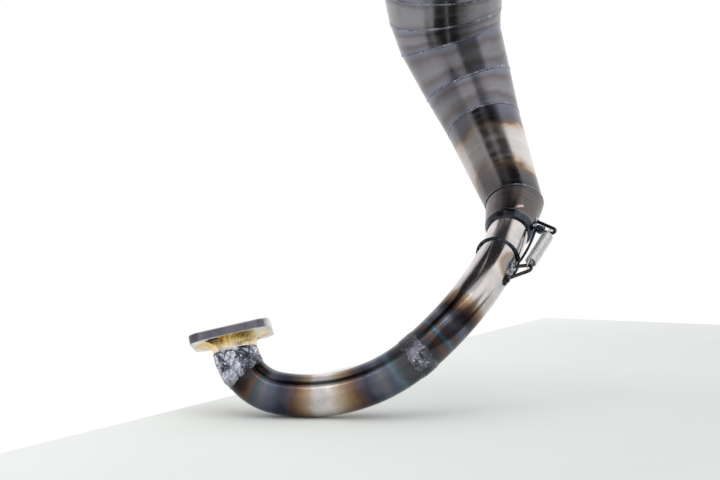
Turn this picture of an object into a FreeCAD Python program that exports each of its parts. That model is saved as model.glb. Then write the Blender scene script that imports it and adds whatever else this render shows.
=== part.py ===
import FreeCAD, Part

import math
import os

import Sketcher
from FreeCAD import Placement, Rotation, Vector

# Scooter expansion chamber: exhaust flange, bent header, spring-held slip joint and a chamber
# rolled from cones.
# Millimetres and degrees. X is right, Y is away from the viewer, Z is up.
# The origin is the middle of the flange's gasket face.

DIMENSIONS = [
    # Flange
    ("flange_length", 54.0),
    ("flange_width", 46.0),
    ("flange_thickness", 6.0),
    ("flange_corner_radius", 9.0),
    ("flange_tilt_left", 13.4),
    ("flange_tilt_back", 14.0),
    ("port_diameter", 25.0),
    ("stud_pitch_circle", 40.0),
    ("stud_angle", -56.0),
    ("stud_hole_diameter", 7.0),
    ("spot_face_diameter", 11.0),
    ("spot_face_depth", 0.5),
    ("neck_diameter", 30.0),
    ("neck_length", 7.5),
    ("neck_flare_radius", 6.8),
    # Header
    ("tube_diameter", 28.0),
    ("tube_wall", 1.5),
    ("header_roll", 6.0),
    ("first_bend_radius", 37.5),
    ("first_bend_angle", 65.9),
    ("second_bend_radius", 110.0),
    ("second_bend_angle", 51.3),
    ("upper_roll", -54.5),
    ("upper_bend_radius", 138.9),
    ("upper_bend_angle", 47.6),
    ("upper_straight", 7.0),
    ("spigot_depth", 16.0),
    # Header welds
    ("flange_weld_angle", 27.0),
    ("flange_weld_thickness", 1.8),
    ("header_weld_length", 11.0),
    ("header_weld_thickness", 0.9),
    ("weld_gap", 0.2),
    # Slip joint
    ("slip_clearance", 0.05),
    ("bush_length", 28.4),
    ("bush_rim_diameter", 34.0),
    ("bush_nose_diameter", 30.6),
    ("bush_nose_length", 3.0),
    ("bush_rise", 38.9),
    ("bush_swing", 16.05),
    ("hook_turn", -153.1),
    ("hook_wire_diameter", 2.4),
    ("hook_bow_radius", 2.8),
    ("hook_sink", 0.9),
    ("chamber_hook_reach", 29.2),
    ("chamber_hook_height", 5.9),
    ("chamber_hook_drop", 4.9),
    ("chamber_hook_spread", 7.5),
    ("header_hook_station", 42.0),
    ("header_hook_reach", 20.6),
    ("header_hook_lead", 2.0),
    ("header_hook_spread", 11.0),
    ("spring_diameter", 8.2),
    ("spring_coil_wall", 1.2),
    ("spring_wire_diameter", 1.0),
    ("spring_eye_gap", 0.3),
    ("spring_eye_turn", 300.0),
    ("spring_shank", 2.0),
    ("keeper_wire_diameter", 2.0),
    ("keeper_strand_diameter", 1.8),
    ("keeper_station", 31.0),
    ("keeper_tilt", -14.0),
    ("keeper_clearance", 1.0),
    # Chamber shell
    ("sheet_wall", 1.0),
    ("bush_end_diameter", 40.5),
    ("cone_1_length", 78.6),
    ("cone_1_diameter", 56.0),
    ("cone_1_rise", 50.3),
    ("cone_1_swing", -19.7),
    ("cone_2_length", 34.4),
    ("cone_2_diameter", 67.3),
    ("cone_2_rise", 64.9),
    ("cone_2_swing", -48.7),
    ("cone_3_length", 36.4),
    ("cone_3_diameter", 77.5),
    ("cone_3_rise", 67.8),
    ("cone_3_swing", -95.4),
    ("cone_4_length", 19.9),
    ("cone_4_diameter", 84.6),
    ("cone_4_rise", 67.6),
    ("cone_4_swing", -143.7),
    ("cone_5_length", 22.0),
    ("cone_5_diameter", 90.0),
    ("cone_5_rise", 64.0),
    ("cone_5_swing", -165.0),
    ("cone_6_length", 52.0),
    ("belly_diameter", 104.0),
    ("belly_length", 60.0),
    ("belly_rise", 60.0),
    ("belly_swing", 180.0),
    ("baffle_1_length", 48.0),
    ("baffle_1_diameter", 78.0),
    ("baffle_2_length", 50.0),
    ("baffle_2_diameter", 50.0),
    ("baffle_3_length", 46.0),
    # Stinger
    ("stinger_diameter", 22.0),
    ("stinger_wall", 1.5),
    ("stinger_length", 120.0),
    ("stinger_insertion", 12.0),
    ("stinger_seat_diameter", 21.0),
    ("stinger_weld_gap", 1.0),
    ("stinger_fit", 0.15),
    # Hanger bracket
    ("bracket_thickness", 4.0),
    ("bracket_length", 64.0),
    ("bracket_height", 34.0),
    ("bracket_corner_radius", 10.0),
    ("bracket_hole_diameter", 8.5),
    ("bracket_hole_pitch", 40.0),
    ("bracket_hole_height", 21.0),
    ("bracket_turn", 115.0),
]

doc = FreeCAD.newDocument("expansion_chamber")
sheet = doc.addObject("Spreadsheet::Sheet", "Dimensions")
for row, (alias, value) in enumerate(DIMENSIONS, start=1):
    sheet.set(f"A{row}", alias)
    sheet.set(f"B{row}", str(value))
    sheet.setAlias(f"B{row}", alias)
doc.recompute()

parts = []


def size(alias):
    """The value of one cell of the sheet."""
    return float(sheet.get(alias))


def bind(target, **formulas):
    """Ties properties of an object to formulas over the sheet's cells."""
    for name, formula in formulas.items():
        target.setExpression(name, formula)


def keep(solid, label, placement=None):
    """Names a finished sub-part and puts it in its place."""
    solid.Label = label
    if placement is not None:
        solid.Placement = placement
    parts.append(solid)
    return solid


# Frames: local Z is the way along the pipe, local X the way in which it bends


def frame_from(origin, along, toward):
    across = along.cross(toward).normalize()
    side = across.cross(along).normalize()
    return Placement(origin, Rotation(side, across, along, "ZXY"))


def straight(frame, length):
    return frame * Placement(Vector(0, 0, length), Rotation())


def rolled(frame, angle):
    return frame * Placement(Vector(), Rotation(Vector(0, 0, 1), angle))


def bent(frame, radius, angle):
    turn = math.radians(angle)
    step = Vector(radius * (1 - math.cos(turn)), 0, radius * math.sin(turn))
    return frame * Placement(step, Rotation(Vector(0, 1, 0), angle))


def axis_of(frame):
    return frame.Rotation.multVec(Vector(0, 0, 1))


def side_of(frame):
    return frame.Rotation.multVec(Vector(1, 0, 0))


def heading(rise, swing):
    """A unit vector that climbs by rise and is turned by swing from +Y towards +X."""
    level = math.cos(math.radians(rise))
    turn = math.radians(swing)
    return Vector(level * math.sin(turn), level * math.cos(turn), math.sin(math.radians(rise)))


# Route of the header, from the gasket face to the rim of the bush, whose body leans a little off the pipe
tilt_left = math.radians(size("flange_tilt_left"))
tilt_back = math.radians(size("flange_tilt_back"))
face_normal = Vector(
    -math.sin(tilt_left) * math.cos(tilt_back),
    math.sin(tilt_back),
    math.cos(tilt_left) * math.cos(tilt_back),
)
flange_frame = frame_from(Vector(), -face_normal, Vector(1, 0, 0))
neck_end = straight(flange_frame, size("flange_thickness") + size("neck_length"))
bend_start = rolled(neck_end, size("header_roll"))
bend_middle = bent(bend_start, size("first_bend_radius"), size("first_bend_angle"))
bend_end = bent(bend_middle, size("second_bend_radius"), size("second_bend_angle"))
upper_start = rolled(bend_end, size("upper_roll"))
upper_end = bent(upper_start, size("upper_bend_radius"), size("upper_bend_angle"))
rim_frame = straight(upper_end, size("upper_straight"))
joint_frame = rolled(rim_frame, size("hook_turn"))
bush_heading = heading(size("bush_rise"), size("bush_swing"))
bush_frame = frame_from(rim_frame.Base, bush_heading, side_of(joint_frame))


# Sketch helpers


def origin_plane(body, role):
    return next(item for item in body.Origin.OriginFeatures if item.Role == role)


def new_sketch(body, name, role, offset=0.0):
    sketch = body.newObject("Sketcher::SketchObject", name)
    sketch.AttachmentSupport = [(origin_plane(body, role), "")]
    sketch.MapMode = "FlatFace"
    sketch.AttachmentOffset = Placement(Vector(0, 0, offset), Rotation())
    return sketch


def constrain(sketch, kind, *arguments, name=None, formula=None):
    """Adds a constraint, and names it and ties it to the sheet where a formula is given."""
    index = sketch.addConstraint(Sketcher.Constraint(kind, *arguments))
    if name:
        sketch.renameConstraint(index, name)
        sketch.setExpression(f"Constraints.{name}", formula)
    return index


def add_circle(sketch, centre_x, centre_y, radius, name, formula):
    """A circle whose diameter follows a formula. Returns its index."""
    circle = sketch.addGeometry(Part.Circle(Vector(centre_x, centre_y, 0), Vector(0, 0, 1), radius))
    constrain(sketch, "Diameter", circle, 2 * radius, name=name, formula=formula)
    return circle


def add_rounded_rectangle(sketch, length, width, radius, formulas):
    """A rounded rectangle about the sketch's origin. formulas gives length, width and radius."""
    half_x = length / 2 - radius
    half_y = width / 2 - radius
    corners = [(half_x, half_y, 0), (-half_x, half_y, 90), (-half_x, -half_y, 180), (half_x, -half_y, 270)]
    arcs = []
    for x, y, start in corners:
        circle = Part.Circle(Vector(x, y, 0), Vector(0, 0, 1), radius)
        arc = Part.ArcOfCircle(circle, math.radians(start), math.radians(start + 90))
        arcs.append(sketch.addGeometry(arc))
    lines = []
    for index, arc in enumerate(arcs):
        following = arcs[(index + 1) % 4]
        begin = sketch.getPoint(arc, 2)
        finish = sketch.getPoint(following, 1)
        line = sketch.addGeometry(Part.LineSegment(begin, finish))
        constrain(sketch, "Tangent", arc, 2, line, 1)
        constrain(sketch, "Tangent", line, 2, following, 1)
        lines.append(line)
    constrain(sketch, "Horizontal", lines[0])
    constrain(sketch, "Vertical", lines[1])
    constrain(sketch, "Horizontal", lines[2])
    constrain(sketch, "Vertical", lines[3])
    for arc in arcs[1:]:
        constrain(sketch, "Equal", arcs[0], arc)
    constrain(sketch, "Symmetric", arcs[0], 3, arcs[2], 3, -1, 1)
    constrain(sketch, "Radius", arcs[0], radius, name="corner", formula=formulas["radius"])
    spans = [("X", lines[1], lines[3], length, "length"), ("Y", lines[2], lines[0], width, "width")]
    for way, first, second, value, name in spans:
        constrain(sketch, f"Distance{way}", first, 1, second, 1, value, name=name, formula=formulas[name])


def cut_through(body, name, sketch, length):
    """Pockets a sketch upwards from its plane, and checks that it took material away."""
    doc.recompute()
    before = body.Shape.Volume
    pocket = body.newObject("PartDesign::Pocket", name)
    pocket.Profile = sketch
    pocket.Reversed = True
    bind(pocket, Length=length)
    doc.recompute()
    if body.Shape.Volume >= before:
        raise RuntimeError(f"{name} cuts nothing")


def add_stud_circles(sketch, diameter):
    """Two circles on the stud pitch circle, opposite each other."""
    turn = math.radians(size("stud_angle"))
    reach = size("stud_pitch_circle") / 2
    for index, sign in enumerate((1, -1)):
        x = sign * reach * math.cos(turn)
        y = sign * reach * math.sin(turn)
        name = f"stud_{index}"
        circle = add_circle(sketch, x, y, size(diameter) / 2, name, f"Dimensions.{diameter}")
        across = f"{sign} * Dimensions.stud_pitch_circle / 2 * cos(Dimensions.stud_angle * 1 deg)"
        along = f"{sign} * Dimensions.stud_pitch_circle / 2 * sin(Dimensions.stud_angle * 1 deg)"
        constrain(sketch, "DistanceX", -1, 1, circle, 3, x, name=f"{name}_x", formula=across)
        constrain(sketch, "DistanceY", -1, 1, circle, 3, y, name=f"{name}_y", formula=along)


# Flange: a rounded plate with a flared neck turned on it, bored for the port and for two studs


def make_flange():
    body = doc.addObject("PartDesign::Body", "Flange")
    plate = new_sketch(body, "FlangePlate", "XY_Plane")
    add_rounded_rectangle(
        plate,
        size("flange_length"),
        size("flange_width"),
        size("flange_corner_radius"),
        {
            "length": "Dimensions.flange_length",
            "width": "Dimensions.flange_width",
            "radius": "Dimensions.flange_corner_radius",
        },
    )
    pad = body.newObject("PartDesign::Pad", "FlangePad")
    pad.Profile = plate
    bind(pad, Length="Dimensions.flange_thickness")
    doc.recompute()

    neck = new_sketch(body, "FlangeNeck", "XZ_Plane")
    thickness = size("flange_thickness")
    end = thickness + size("neck_length")
    outer = size("neck_diameter") / 2
    flare = size("neck_flare_radius")
    inner = size("port_diameter") / 2
    base_left = Vector(inner, thickness, 0)
    base_right = Vector(outer + flare, thickness, 0)
    flare_end = Vector(outer, thickness + flare, 0)
    tip_right = Vector(outer, end, 0)
    tip_left = Vector(inner, end, 0)
    centre = Vector(outer + flare, thickness + flare, 0)
    circle = Part.Circle(centre, Vector(0, 0, 1), flare)
    base = neck.addGeometry(Part.LineSegment(base_left, base_right))
    arc = neck.addGeometry(Part.ArcOfCircle(circle, math.pi, 1.5 * math.pi))
    wall = neck.addGeometry(Part.LineSegment(flare_end, tip_right))
    tip = neck.addGeometry(Part.LineSegment(tip_right, tip_left))
    bore = neck.addGeometry(Part.LineSegment(tip_left, base_left))
    constrain(neck, "Tangent", base, 2, arc, 2)
    constrain(neck, "Tangent", arc, 1, wall, 1)
    constrain(neck, "Coincident", wall, 2, tip, 1)
    constrain(neck, "Coincident", tip, 2, bore, 1)
    constrain(neck, "Coincident", bore, 2, base, 1)
    constrain(neck, "Horizontal", base)
    constrain(neck, "Vertical", wall)
    constrain(neck, "Horizontal", tip)
    constrain(neck, "Vertical", bore)
    spots = [
        ("bore", "X", base, inner, "Dimensions.port_diameter / 2"),
        ("base", "Y", base, thickness, "Dimensions.flange_thickness"),
        ("outside", "X", tip, outer, "Dimensions.neck_diameter / 2"),
        ("reach", "Y", tip, end, "Dimensions.flange_thickness + Dimensions.neck_length"),
    ]
    for name, way, line, value, formula in spots:
        constrain(neck, f"Distance{way}", -1, 1, line, 1, value, name=name, formula=formula)
    constrain(neck, "Radius", arc, flare, name="flare", formula="Dimensions.neck_flare_radius")
    turned = body.newObject("PartDesign::Revolution", "FlangeNeckTurned")
    turned.Profile = neck
    turned.ReferenceAxis = (neck, ["V_Axis"])
    turned.Angle = 360
    doc.recompute()

    port = new_sketch(body, "FlangePort", "XY_Plane")
    circle = add_circle(port, 0, 0, inner, "bore", "Dimensions.port_diameter")
    constrain(port, "Coincident", circle, 3, -1, 1)
    cut_through(body, "FlangePortCut", port, "Dimensions.flange_thickness + Dimensions.neck_length")

    studs = new_sketch(body, "FlangeStuds", "XY_Plane")
    add_stud_circles(studs, "stud_hole_diameter")
    cut_through(body, "FlangeStudHoles", studs, "Dimensions.flange_thickness")

    seats = new_sketch(body, "FlangeSpotFaces", "XY_Plane")
    bind(seats, **{"AttachmentOffset.Base.z": "Dimensions.flange_thickness - Dimensions.spot_face_depth"})
    add_stud_circles(seats, "spot_face_diameter")
    cut_through(body, "FlangeSpotFacing", seats, "Dimensions.neck_length + Dimensions.spot_face_depth")
    return keep(body, "exhaust_flange", flange_frame)


# Header: two bent tubes, butt welded to the neck and to each other


def make_bent_tube(name, label, frame, bends, tail=None):
    """A tube swept along tangent arcs, with a straight tail if cells for one are given.

    bends names the cells of each arc's radius and angle.
    """
    body = doc.addObject("PartDesign::Body", name)
    path = new_sketch(body, f"{name}Path", "XZ_Plane")
    place = Placement()
    previous = None
    for index, (radius_cell, angle_cell) in enumerate(bends):
        radius = size(radius_cell)
        turn = math.radians(size(angle_cell))
        following = bent(place, radius, size(angle_cell))
        begin = math.pi - place.Rotation.Angle
        centre = place.multVec(Vector(radius, 0, 0))
        circle = Part.Circle(Vector(centre.x, centre.z, 0), Vector(0, 0, 1), radius)
        arc = path.addGeometry(Part.ArcOfCircle(circle, begin - turn, begin))
        if previous is None:
            constrain(path, "Coincident", arc, 2, -1, 1)
            constrain(path, "PointOnObject", arc, 3, -1)
        else:
            constrain(path, "Tangent", previous, 1, arc, 2)
        constrain(path, "Radius", arc, radius, name=f"radius_{index}", formula=f"Dimensions.{radius_cell}")
        constrain(path, "Angle", arc, turn, name=f"turn_{index}", formula=f"Dimensions.{angle_cell} * 1 deg")
        place = following
        previous = arc
    edges = [f"Edge{index + 1}" for index in range(len(bends))]
    if tail:
        length = sum(size(cell) for cell in tail)
        begin = place.Base
        finish = straight(place, length).Base
        line = path.addGeometry(
            Part.LineSegment(Vector(begin.x, begin.z, 0), Vector(finish.x, finish.z, 0))
        )
        constrain(path, "Tangent", previous, 1, line, 1)
        total = " + ".join(f"Dimensions.{cell}" for cell in tail)
        constrain(path, "Distance", line, length, name="tail", formula=total)
        edges.append(f"Edge{len(bends) + 1}")
    ring = new_sketch(body, f"{name}Ring", "XY_Plane")
    outer = size("tube_diameter") / 2
    outside = add_circle(ring, 0, 0, outer, "outside", "Dimensions.tube_diameter")
    bore = "Dimensions.tube_diameter - 2 * Dimensions.tube_wall"
    inside = add_circle(ring, 0, 0, outer - size("tube_wall"), "inside", bore)
    constrain(ring, "Coincident", outside, 3, -1, 1)
    constrain(ring, "Coincident", inside, 3, -1, 1)
    doc.recompute()
    pipe = body.newObject("PartDesign::AdditivePipe", f"{name}Swept")
    pipe.Profile = ring
    pipe.Spine = (path, edges)
    doc.recompute()
    return keep(body, label, frame)


# Welds of the header: a heavy collar round the start of the bend, and a band where the two tubes meet


def cut_from(name, label, base, tool, placement=None):
    cut = doc.addObject("Part::Cut", name)
    cut.Base = base
    cut.Tool = tool
    return keep(cut, label, placement)


def bend_plane(radius):
    """Where a ring that starts along a frame's Z and bends towards its X has its middle."""
    turned = Rotation(Vector(-1, 0, 0), Vector(0, 0, 1), Vector(0, 1, 0), "ZXY")
    return Placement(Vector(radius, 0, 0), turned)


def make_flange_weld():
    tori = []
    for name, formula in (
        ("FlangeWeldOuter", "Dimensions.tube_diameter / 2 + Dimensions.flange_weld_thickness"),
        ("FlangeWeldInner", "Dimensions.tube_diameter / 2 + Dimensions.weld_gap"),
    ):
        torus = doc.addObject("Part::Torus", name)
        bind(torus, Radius1="Dimensions.first_bend_radius", Radius2=formula)
        bind(torus, Angle3="Dimensions.flange_weld_angle")
        tori.append(torus)
    return cut_from("FlangeWeld", "flange_weld", *tori, bend_start * bend_plane(size("first_bend_radius")))


def make_tube(name, label, frame, outside, inside, length):
    """A plain straight tube along its frame's Z, from formulas for its radii and its length."""
    cylinders = []
    for suffix, formula in (("Outer", outside), ("Inner", inside)):
        cylinder = doc.addObject("Part::Cylinder", f"{name}{suffix}")
        bind(cylinder, Radius=formula, Height=length)
        cylinders.append(cylinder)
    return cut_from(name, label, *cylinders, frame)


def make_header_weld():
    return make_tube(
        "HeaderWeld",
        "header_weld",
        straight(bend_end, -size("header_weld_length") / 2),
        "Dimensions.tube_diameter / 2 + Dimensions.header_weld_thickness",
        "Dimensions.tube_diameter / 2 + 2 * Dimensions.weld_gap",
        "Dimensions.header_weld_length",
    )


# Chamber shell: seams are planes that halve the turn between neighbouring axes


def seam(centre, before, after, radius):
    """A weld seam: its centre, the normal of its plane and the radius of the shell there."""
    return {"centre": centre, "normal": (before + after).normalize(), "radius": radius}


def cone_through(low, high):
    """The right cone whose slanted cuts by two seam planes are centred on the seams.

    A slanted cut of a cone is an ellipse whose middle lies off the cone's axis, so the axis is shifted
    against that offset until both cuts sit on their seams. Returns two axis points, with the radii there.
    """
    points = [low["centre"], high["centre"]]
    radii = [low["radius"], high["radius"]]
    for _ in range(8):
        axis = points[1] - points[0]
        slope = (radii[1] - radii[0]) / axis.Length
        axis.normalize()
        for index, cut in enumerate((low, high)):
            cosine = axis.dot(cut["normal"])
            lean = axis - cut["normal"] * cosine
            spread = cosine**2 - lean.dot(lean) * slope**2
            shift = slope / spread
            inner = (1 + shift * lean.dot(lean) * slope) ** 2 - lean.dot(lean) * (shift * cosine) ** 2
            radii[index] = cut["radius"] / math.sqrt(inner)
            points[index] = cut["centre"] - lean * (shift * radii[index])
    return points, radii


def half_space(cut, keep_above):
    """A block that fills one side of a seam plane."""
    reach = 2 * size("belly_diameter")
    block = Part.makeBox(2 * reach, 2 * reach, reach, Vector(-reach, -reach, 0))
    normal = cut["normal"] if keep_above else -cut["normal"]
    block.Placement = Placement(cut["centre"], Rotation(Vector(0, 0, 1), normal))
    return block


def solid_cone(points, radii, thinner, overrun):
    """A solid cone along an axis, thinner by a radial amount and running past both of its points."""
    axis = points[1] - points[0]
    length = axis.Length
    slope = (radii[1] - radii[0]) / length
    axis.normalize()
    start = points[0] - axis * overrun
    low = radii[0] - thinner - slope * overrun
    high = radii[1] - thinner + slope * overrun
    return Part.makeCone(low, high, length + 2 * overrun, start, axis)


def make_mitred_cone(name, label, low, high):
    """A sheet cone between two seams."""
    points, radii = cone_through(low, high)
    slope = (radii[1] - radii[0]) / (points[1] - points[0]).Length
    wall = size("sheet_wall") * math.sqrt(1 + slope**2)
    overrun = high["radius"] / 2
    shell = solid_cone(points, radii, 0, overrun).cut(solid_cone(points, radii, wall, overrun))
    shell = shell.common(half_space(low, True)).common(half_space(high, False))
    cone = doc.addObject("Part::Feature", name)
    cone.Shape = shell.Solids[0]
    return keep(cone, label)


def chamber_seams():
    """The seams from the end of the bush to the belly, along the headings of the cones."""
    headings = [bush_heading]
    headings += [heading(size(f"cone_{k}_rise"), size(f"cone_{k}_swing")) for k in range(1, 6)]
    belly_heading = heading(size("belly_rise"), size("belly_swing"))
    headings += [belly_heading, belly_heading]
    diameters = [size("bush_end_diameter")]
    diameters += [size(f"cone_{k}_diameter") for k in range(1, 6)]
    diameters.append(size("belly_diameter"))
    centre = straight(bush_frame, size("bush_length")).Base
    seams = []
    for index, diameter in enumerate(diameters):
        seams.append(seam(centre, headings[index], headings[index + 1], diameter / 2))
        if index < 6:
            centre = centre + headings[index + 1] * size(f"cone_{index + 1}_length")
    return seams, belly_heading


def make_sheet_cone(name, label, frame, low, high, length):
    """A plain sheet cone along its frame's Z, from formulas for its end radii and its length."""
    cones = []
    for suffix, less in (("Outer", "0"), ("Inner", "Dimensions.sheet_wall")):
        cone = doc.addObject("Part::Cone", f"{name}{suffix}")
        bind(cone, Radius1=f"{low} - {less}", Radius2=f"{high} - {less}", Height=length)
        cones.append(cone)
    return cut_from(name, label, *cones, frame)


# Inlet bush: turned with a bevelled nose, bored along the pipe, and cut on the slant where the first cone
# is welded on


def make_inlet_bush(end_seam):
    body = doc.addObject("PartDesign::Body", "BushTurned")
    profile = new_sketch(body, "BushProfile", "XZ_Plane")
    allowance = end_seam["radius"] / 2
    length = size("bush_length")
    rim = size("bush_rim_diameter") / 2
    nose = size("bush_nose_diameter") / 2
    far = rim + (end_seam["radius"] - rim) * (length + allowance) / length
    corners = [
        Vector(0, -size("bush_nose_length"), 0),
        Vector(nose, -size("bush_nose_length"), 0),
        Vector(rim, 0, 0),
        Vector(far, length + allowance, 0),
        Vector(0, length + allowance, 0),
    ]
    lines = []
    for index, corner in enumerate(corners):
        following = corners[(index + 1) % len(corners)]
        lines.append(profile.addGeometry(Part.LineSegment(corner, following)))
    for index, line in enumerate(lines):
        constrain(profile, "Coincident", line, 2, lines[(index + 1) % len(lines)], 1)
    constrain(profile, "Horizontal", lines[0])
    constrain(profile, "Horizontal", lines[3])
    constrain(profile, "PointOnObject", lines[0], 1, -2)
    constrain(profile, "PointOnObject", lines[4], 1, -2)
    constrain(profile, "PointOnObject", lines[2], 1, -1)
    run = "Dimensions.bush_length + Dimensions.bush_end_diameter / 4"
    taper = "(Dimensions.bush_end_diameter - Dimensions.bush_rim_diameter) / 2 / Dimensions.bush_length"
    far_formula = f"Dimensions.bush_rim_diameter / 2 + {taper} * ({run})"
    spots = [
        ("nose_radius", 1, "X", nose, "Dimensions.bush_nose_diameter / 2"),
        ("nose_end", 1, "Y", -size("bush_nose_length"), "-Dimensions.bush_nose_length"),
        ("rim_radius", 2, "X", rim, "Dimensions.bush_rim_diameter / 2"),
        ("far_radius", 3, "X", far, far_formula),
        ("far_end", 3, "Y", length + allowance, run),
    ]
    for name, index, way, value, formula in spots:
        constrain(profile, f"Distance{way}", -1, 1, lines[index], 1, value, name=name, formula=formula)
    turned = body.newObject("PartDesign::Revolution", "BushRevolved")
    turned.Profile = profile
    turned.ReferenceAxis = (profile, ["V_Axis"])
    turned.Angle = 360
    body.Placement = bush_frame
    bore = doc.addObject("Part::Cylinder", "BushBore")
    bind(bore, Radius="Dimensions.tube_diameter / 2 + Dimensions.slip_clearance")
    bind(bore, Height="3 * Dimensions.bush_length")
    bore.Placement = straight(rim_frame, -size("bush_length"))
    bored = doc.addObject("Part::Cut", "BushBored")
    bored.Base = body
    bored.Tool = bore
    block = doc.addObject("Part::Box", "BushMitre")
    bind(block, Length="3 * Dimensions.bush_end_diameter", Width="3 * Dimensions.bush_end_diameter")
    bind(block, Height="Dimensions.bush_end_diameter")
    half = 1.5 * size("bush_end_diameter")
    slant = Placement(end_seam["centre"], Rotation(Vector(0, 0, 1), end_seam["normal"]))
    block.Placement = slant * Placement(Vector(-half, -half, 0), Rotation())
    return cut_from("InletBush", "inlet_bush", bored, block)


# Spring hooks: bent wire, each with two legs on the pipe and a bow that holds the spring's eye


def hook_path(leg_a, leg_b, eye, radius):
    """A wire from one leg, tangent round the far side of the eye, to the other leg."""
    outward = (eye - (leg_a + leg_b) * 0.5).normalize()
    ends = []
    for leg in (leg_a, leg_b):
        away = leg - eye
        span = away.Length
        away.normalize()
        other = leg_b if leg is leg_a else leg_a
        side = leg - other
        side = (side - away * side.dot(away)).normalize()
        along = radius / span
        ends.append(eye + away * (radius * along) + side * (radius * math.sqrt(1 - along**2)))
    bow = Part.Arc(ends[0], eye + outward * radius, ends[1])
    edges = [Part.LineSegment(leg_a, ends[0]).toShape(), bow.toShape()]
    edges.append(Part.LineSegment(ends[1], leg_b).toShape())
    return Part.Wire(edges)


def make_hook(name, label, legs, eye, pipe):
    """A hook whose legs start inside the pipe's wall and are cut flush with the pipe's outside."""
    path = doc.addObject("Part::Feature", f"{name}Path")
    path.Shape = hook_path(*legs, eye, size("hook_bow_radius"))
    section = doc.addObject("Part::Circle", f"{name}Section")
    bind(section, Radius="Dimensions.hook_wire_diameter / 2")
    first = path.Shape.Edges[0]
    section.Placement = Placement(legs[0], Rotation(Vector(0, 0, 1), first.tangentAt(first.FirstParameter)))
    wire = doc.addObject("Part::Sweep", f"{name}Wire")
    wire.Sections = [section]
    wire.Spine = (path, ["Edge1", "Edge2", "Edge3"])
    wire.Solid = True
    wire.Frenet = True
    return cut_from(name, label, wire, pipe)


def header_frame_at(station):
    """The header's frame at a distance below the rim of the bush, on the tail or on the upper bend."""
    on_bend = station - size("upper_straight")
    if on_bend <= 0:
        return straight(rim_frame, -station)
    back = math.degrees(on_bend / size("upper_bend_radius"))
    return bent(upper_start, size("upper_bend_radius"), size("upper_bend_angle") - back)


def header_seat(station, toward):
    """A point just inside the header's surface, on the side that faces a given point."""
    frame = header_frame_at(station)
    axis = axis_of(frame)
    offset = toward - frame.Base
    radial = (offset - axis * offset.dot(axis)).normalize()
    return frame.Base + radial * (size("tube_diameter") / 2 - size("hook_sink"))


def bush_seat(height):
    """A point just inside the bush's surface, on the side of the hooks."""
    taper = (size("bush_end_diameter") - size("bush_rim_diameter")) / 2 / size("bush_length")
    radius = size("bush_rim_diameter") / 2 + taper * height - size("hook_sink")
    return bush_frame.multVec(Vector(radius, 0, height))


chamber_eye = joint_frame.multVec(
    Vector(size("chamber_hook_reach"), 0, size("chamber_hook_height") - size("chamber_hook_drop"))
)
header_eye = joint_frame.multVec(
    Vector(size("header_hook_reach"), 0, size("header_hook_lead") - size("header_hook_station"))
)


def make_hooks():
    half = size("chamber_hook_spread") / 2
    height = size("chamber_hook_height")
    legs = [bush_seat(height - half), bush_seat(height + half)]
    bush_solid = doc.addObject("Part::Cone", "ChamberHookTrim")
    bind(bush_solid, Radius1="Dimensions.bush_rim_diameter / 2", Radius2="Dimensions.bush_end_diameter / 2")
    bind(bush_solid, Height="Dimensions.bush_length")
    bush_solid.Placement = bush_frame
    make_hook("ChamberHook", "chamber_spring_hook", legs, chamber_eye, bush_solid)

    half = size("header_hook_spread") / 2
    station = size("header_hook_station")
    legs = [header_seat(station + half, header_eye), header_seat(station - half, header_eye)]
    pipe_solid = doc.addObject("Part::Torus", "HeaderHookTrim")
    bind(pipe_solid, Radius1="Dimensions.upper_bend_radius", Radius2="Dimensions.tube_diameter / 2")
    bind(pipe_solid, Angle3="Dimensions.upper_bend_angle")
    pipe_solid.Placement = upper_start * bend_plane(size("upper_bend_radius"))
    make_hook("HeaderHook", "header_spring_hook", legs, header_eye, pipe_solid)


# Joint spring: a close-wound coil with an open eye at each end, hung between the two hooks


def eye_path(radius, coil_end, shank, turn):
    """A wire that leaves the coil's wall, runs straight and then round an eye of the coil's own radius."""
    begin = Vector(-radius, 0, coil_end)
    bend = Vector(-radius, 0, coil_end + shank)
    points = []
    for share in (0.5, 1):
        angle = math.radians(180 - turn * share)
        points.append(Vector(radius * math.cos(angle), 0, bend.z + radius * math.sin(angle)))
    return Part.Wire([Part.LineSegment(begin, bend).toShape(), Part.Arc(bend, *points).toShape()])


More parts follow.
